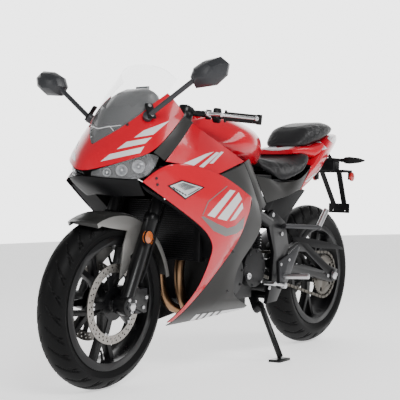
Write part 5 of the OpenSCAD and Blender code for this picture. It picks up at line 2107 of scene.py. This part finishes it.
    def _fins(self) -> None:
        """Adds the radiator's fins."""
        slat = block("slat", (3.0, 292.0, 1.2), Matrix.Scale(MM, 4), 0.4)
        slat.data.transform(Matrix.Rotation(-math.radians(STANCE.lean), 4, "X"))
        x, low, step, count = self.fins
        spots = [(row((x, 0.0, low + step * k)), (0.0, 0.0, 1.0)) for k in range(count)]
        level = Matrix.Identity(4)
        self.shop.scatter("radiator_fins", "chassis", slat, spots, DARK_METAL, level)

    def _engine_bolts(self) -> None:
        """Rings the engine's covers with bolts and adds the oil plug."""
        spots = []
        for x, z, r, y, count in self.cover_bolts:
            out = (0.0, math.copysign(1.0, y), 0.0)
            for a in angles(count):
                spots.append(((x + r * math.cos(a + 0.2), y, z + r * math.sin(a + 0.2)), out))
        self.shop.scatter("engine_bolts", "chassis", screw_head(5.0, 4.0), spots, DARK_METAL)
        profile = [(13, 0), (13, 9), (11, 11), (5, 11), (4.5, 7), (0.4, 6.6)]
        plug = revolved("engine_plug", profile, 24, toward(self.engine_plug, (0, 1, 0)), 38.0)
        self.shop.add(plug, "chassis", BRIGHT)

    def _coil(self) -> None:
        """Winds the coil of the shock."""
        low, high, radius, turns = self.coil
        path = helix(Vector(low), Vector(high), radius, turns)
        self.shop.add(tube("shock_coil", path, 5.0, UPRIGHT), "chassis", DARK_METAL)

    def _plugs(self) -> None:
        """Adds bolts on the frame plates, the peg brackets and the chain's adjusters."""
        for name, head, y, places in (
            ("frame_bolts", (8.5, 4.0), 156.2,
             ((474, 512), (450, 545), (560, 298), (480, 385), (545, 590))),
            ("bracket_bolts", (6.0, 3.4), 164.2, ((486, 388), (480, 300), (424, 404))),
            ("adjuster_bolts", (8.0, 5.0), 134.2, ((-42, 313), (36, 313))),
        ):
            spots = [spot for x, z in places for spot in both_sides((x, y, z))]
            self.shop.scatter(name, "chassis", screw_head(*head), spots, BRIGHT)


# Studio


@dataclass(frozen=True)
class Studio:
    """Pale floor, a bright wall far behind the bike and soft light.

    Args:
        floor_half: Half the side of the floor in metres.
        wall: Direction of the bright wall.
        dim: Light from all other directions.
        bright: Light from the wall.
        edge: Cosines to the wall's direction between which the light grows.
        boxes: Name, place, side and power of each soft box.
        aim: The place that the boxes look at.
    """

    floor_half: float = 30.0
    wall: Point = (-0.80, -0.60, 0.0)
    dim: float = 0.36
    bright: float = 3.6
    edge: tuple[float, float] = (0.55, 0.90)
    boxes: tuple[tuple[str, Point, float, float], ...] = (
        ("key_box", (2.8, 3.6, 3.4), 1.6, 170.0),
        ("rear_box", (-1.8, 2.6, 3.2), 1.8, 80.0),
        ("front_box", (4.2, -1.2, 2.0), 1.4, 30.0),
    )
    aim: Point = (0.0, 0.0, 0.5)

    def build(self) -> None:
        """Adds the floor, the world light and the soft boxes."""
        half = self.floor_half
        corners = [(-half, -half, 0), (half, -half, 0), (half, half, 0), (-half, half, 0)]
        floor = shape("floor", corners, [(0, 1, 2, 3)])
        paper = Finish(
            "pale_floor", "", (0.90, 0.90, 0.90), 0.7, Grain.PAINT, shade=0.01, glow=0.9, shine=0.2
        )
        floor.data.materials.append(paper.material())
        self._world()
        for name, place, size, power in self.boxes:
            data = bpy.data.lights.new(name, "AREA")
            data.size = size
            data.energy = power
            lamp = bpy.data.objects.new(name, data)
            lamp.location = place
            aim = Vector(self.aim) - Vector(place)
            lamp.rotation_euler = aim.to_track_quat("-Z", "Y").to_euler()
            bpy.context.scene.collection.objects.link(lamp)

    def _world(self) -> None:
        """Makes the light from all around, with the bright wall on one side."""
        world = bpy.data.worlds.new("studio")
        world.use_nodes = True
        nodes, links = world.node_tree.nodes, world.node_tree.links
        where = nodes.new("ShaderNodeTexCoord")
        share = nodes.new("ShaderNodeVectorMath")
        share.operation = "DOT_PRODUCT"
        share.inputs[1].default_value = self.wall
        links.new(where.outputs["Generated"], share.inputs[0])
        level = nodes.new("ShaderNodeMapRange")
        level.interpolation_type = "SMOOTHSTEP"
        sockets = ("From Min", "From Max", "To Min", "To Max")
        for socket, value in zip(sockets, (*self.edge, self.dim, self.bright)):
            level.inputs[socket].default_value = value
        links.new(share.outputs["Value"], level.inputs["Value"])
        links.new(level.outputs["Result"], nodes["Background"].inputs["Strength"])
        nodes["Background"].inputs["Color"].default_value = (1.0, 1.0, 1.0, 1.0)
        bpy.context.scene.world = world


def main() -> None:
    """Builds the dressed bike, one sub-assembly after the other."""
    logging.basicConfig(level=logging.INFO, format="%(message)s")
    shop = Workshop(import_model())
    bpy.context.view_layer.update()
    PHOTO.build()
    Studio().build()
    Paintwork(shop).build()
    Nose(shop).build()
    Wheel(
        shop, "front", STANCE.front_wheel_to_row, radius=STANCE.front_r, width=110.0,
        rim_width=84.0, discs=(-47.0, 47.0), disc=(136.0, 106.0), disc_node="front_discs",
    ).build()
    Wheel(
        shop, "rear", STANCE.rear_wheel_to_row, radius=STANCE.rear_r, width=140.0,
        rim_width=112.0, discs=(-76.0,), disc=(110.0, 82.0), disc_node="rear_disc",
    ).build()
    Steering(shop).build()
    Seats(shop).build()
    Drive(shop).build()
    log.info("%d pieces", shop.pieces)


if __name__ == "__main__":
    main()
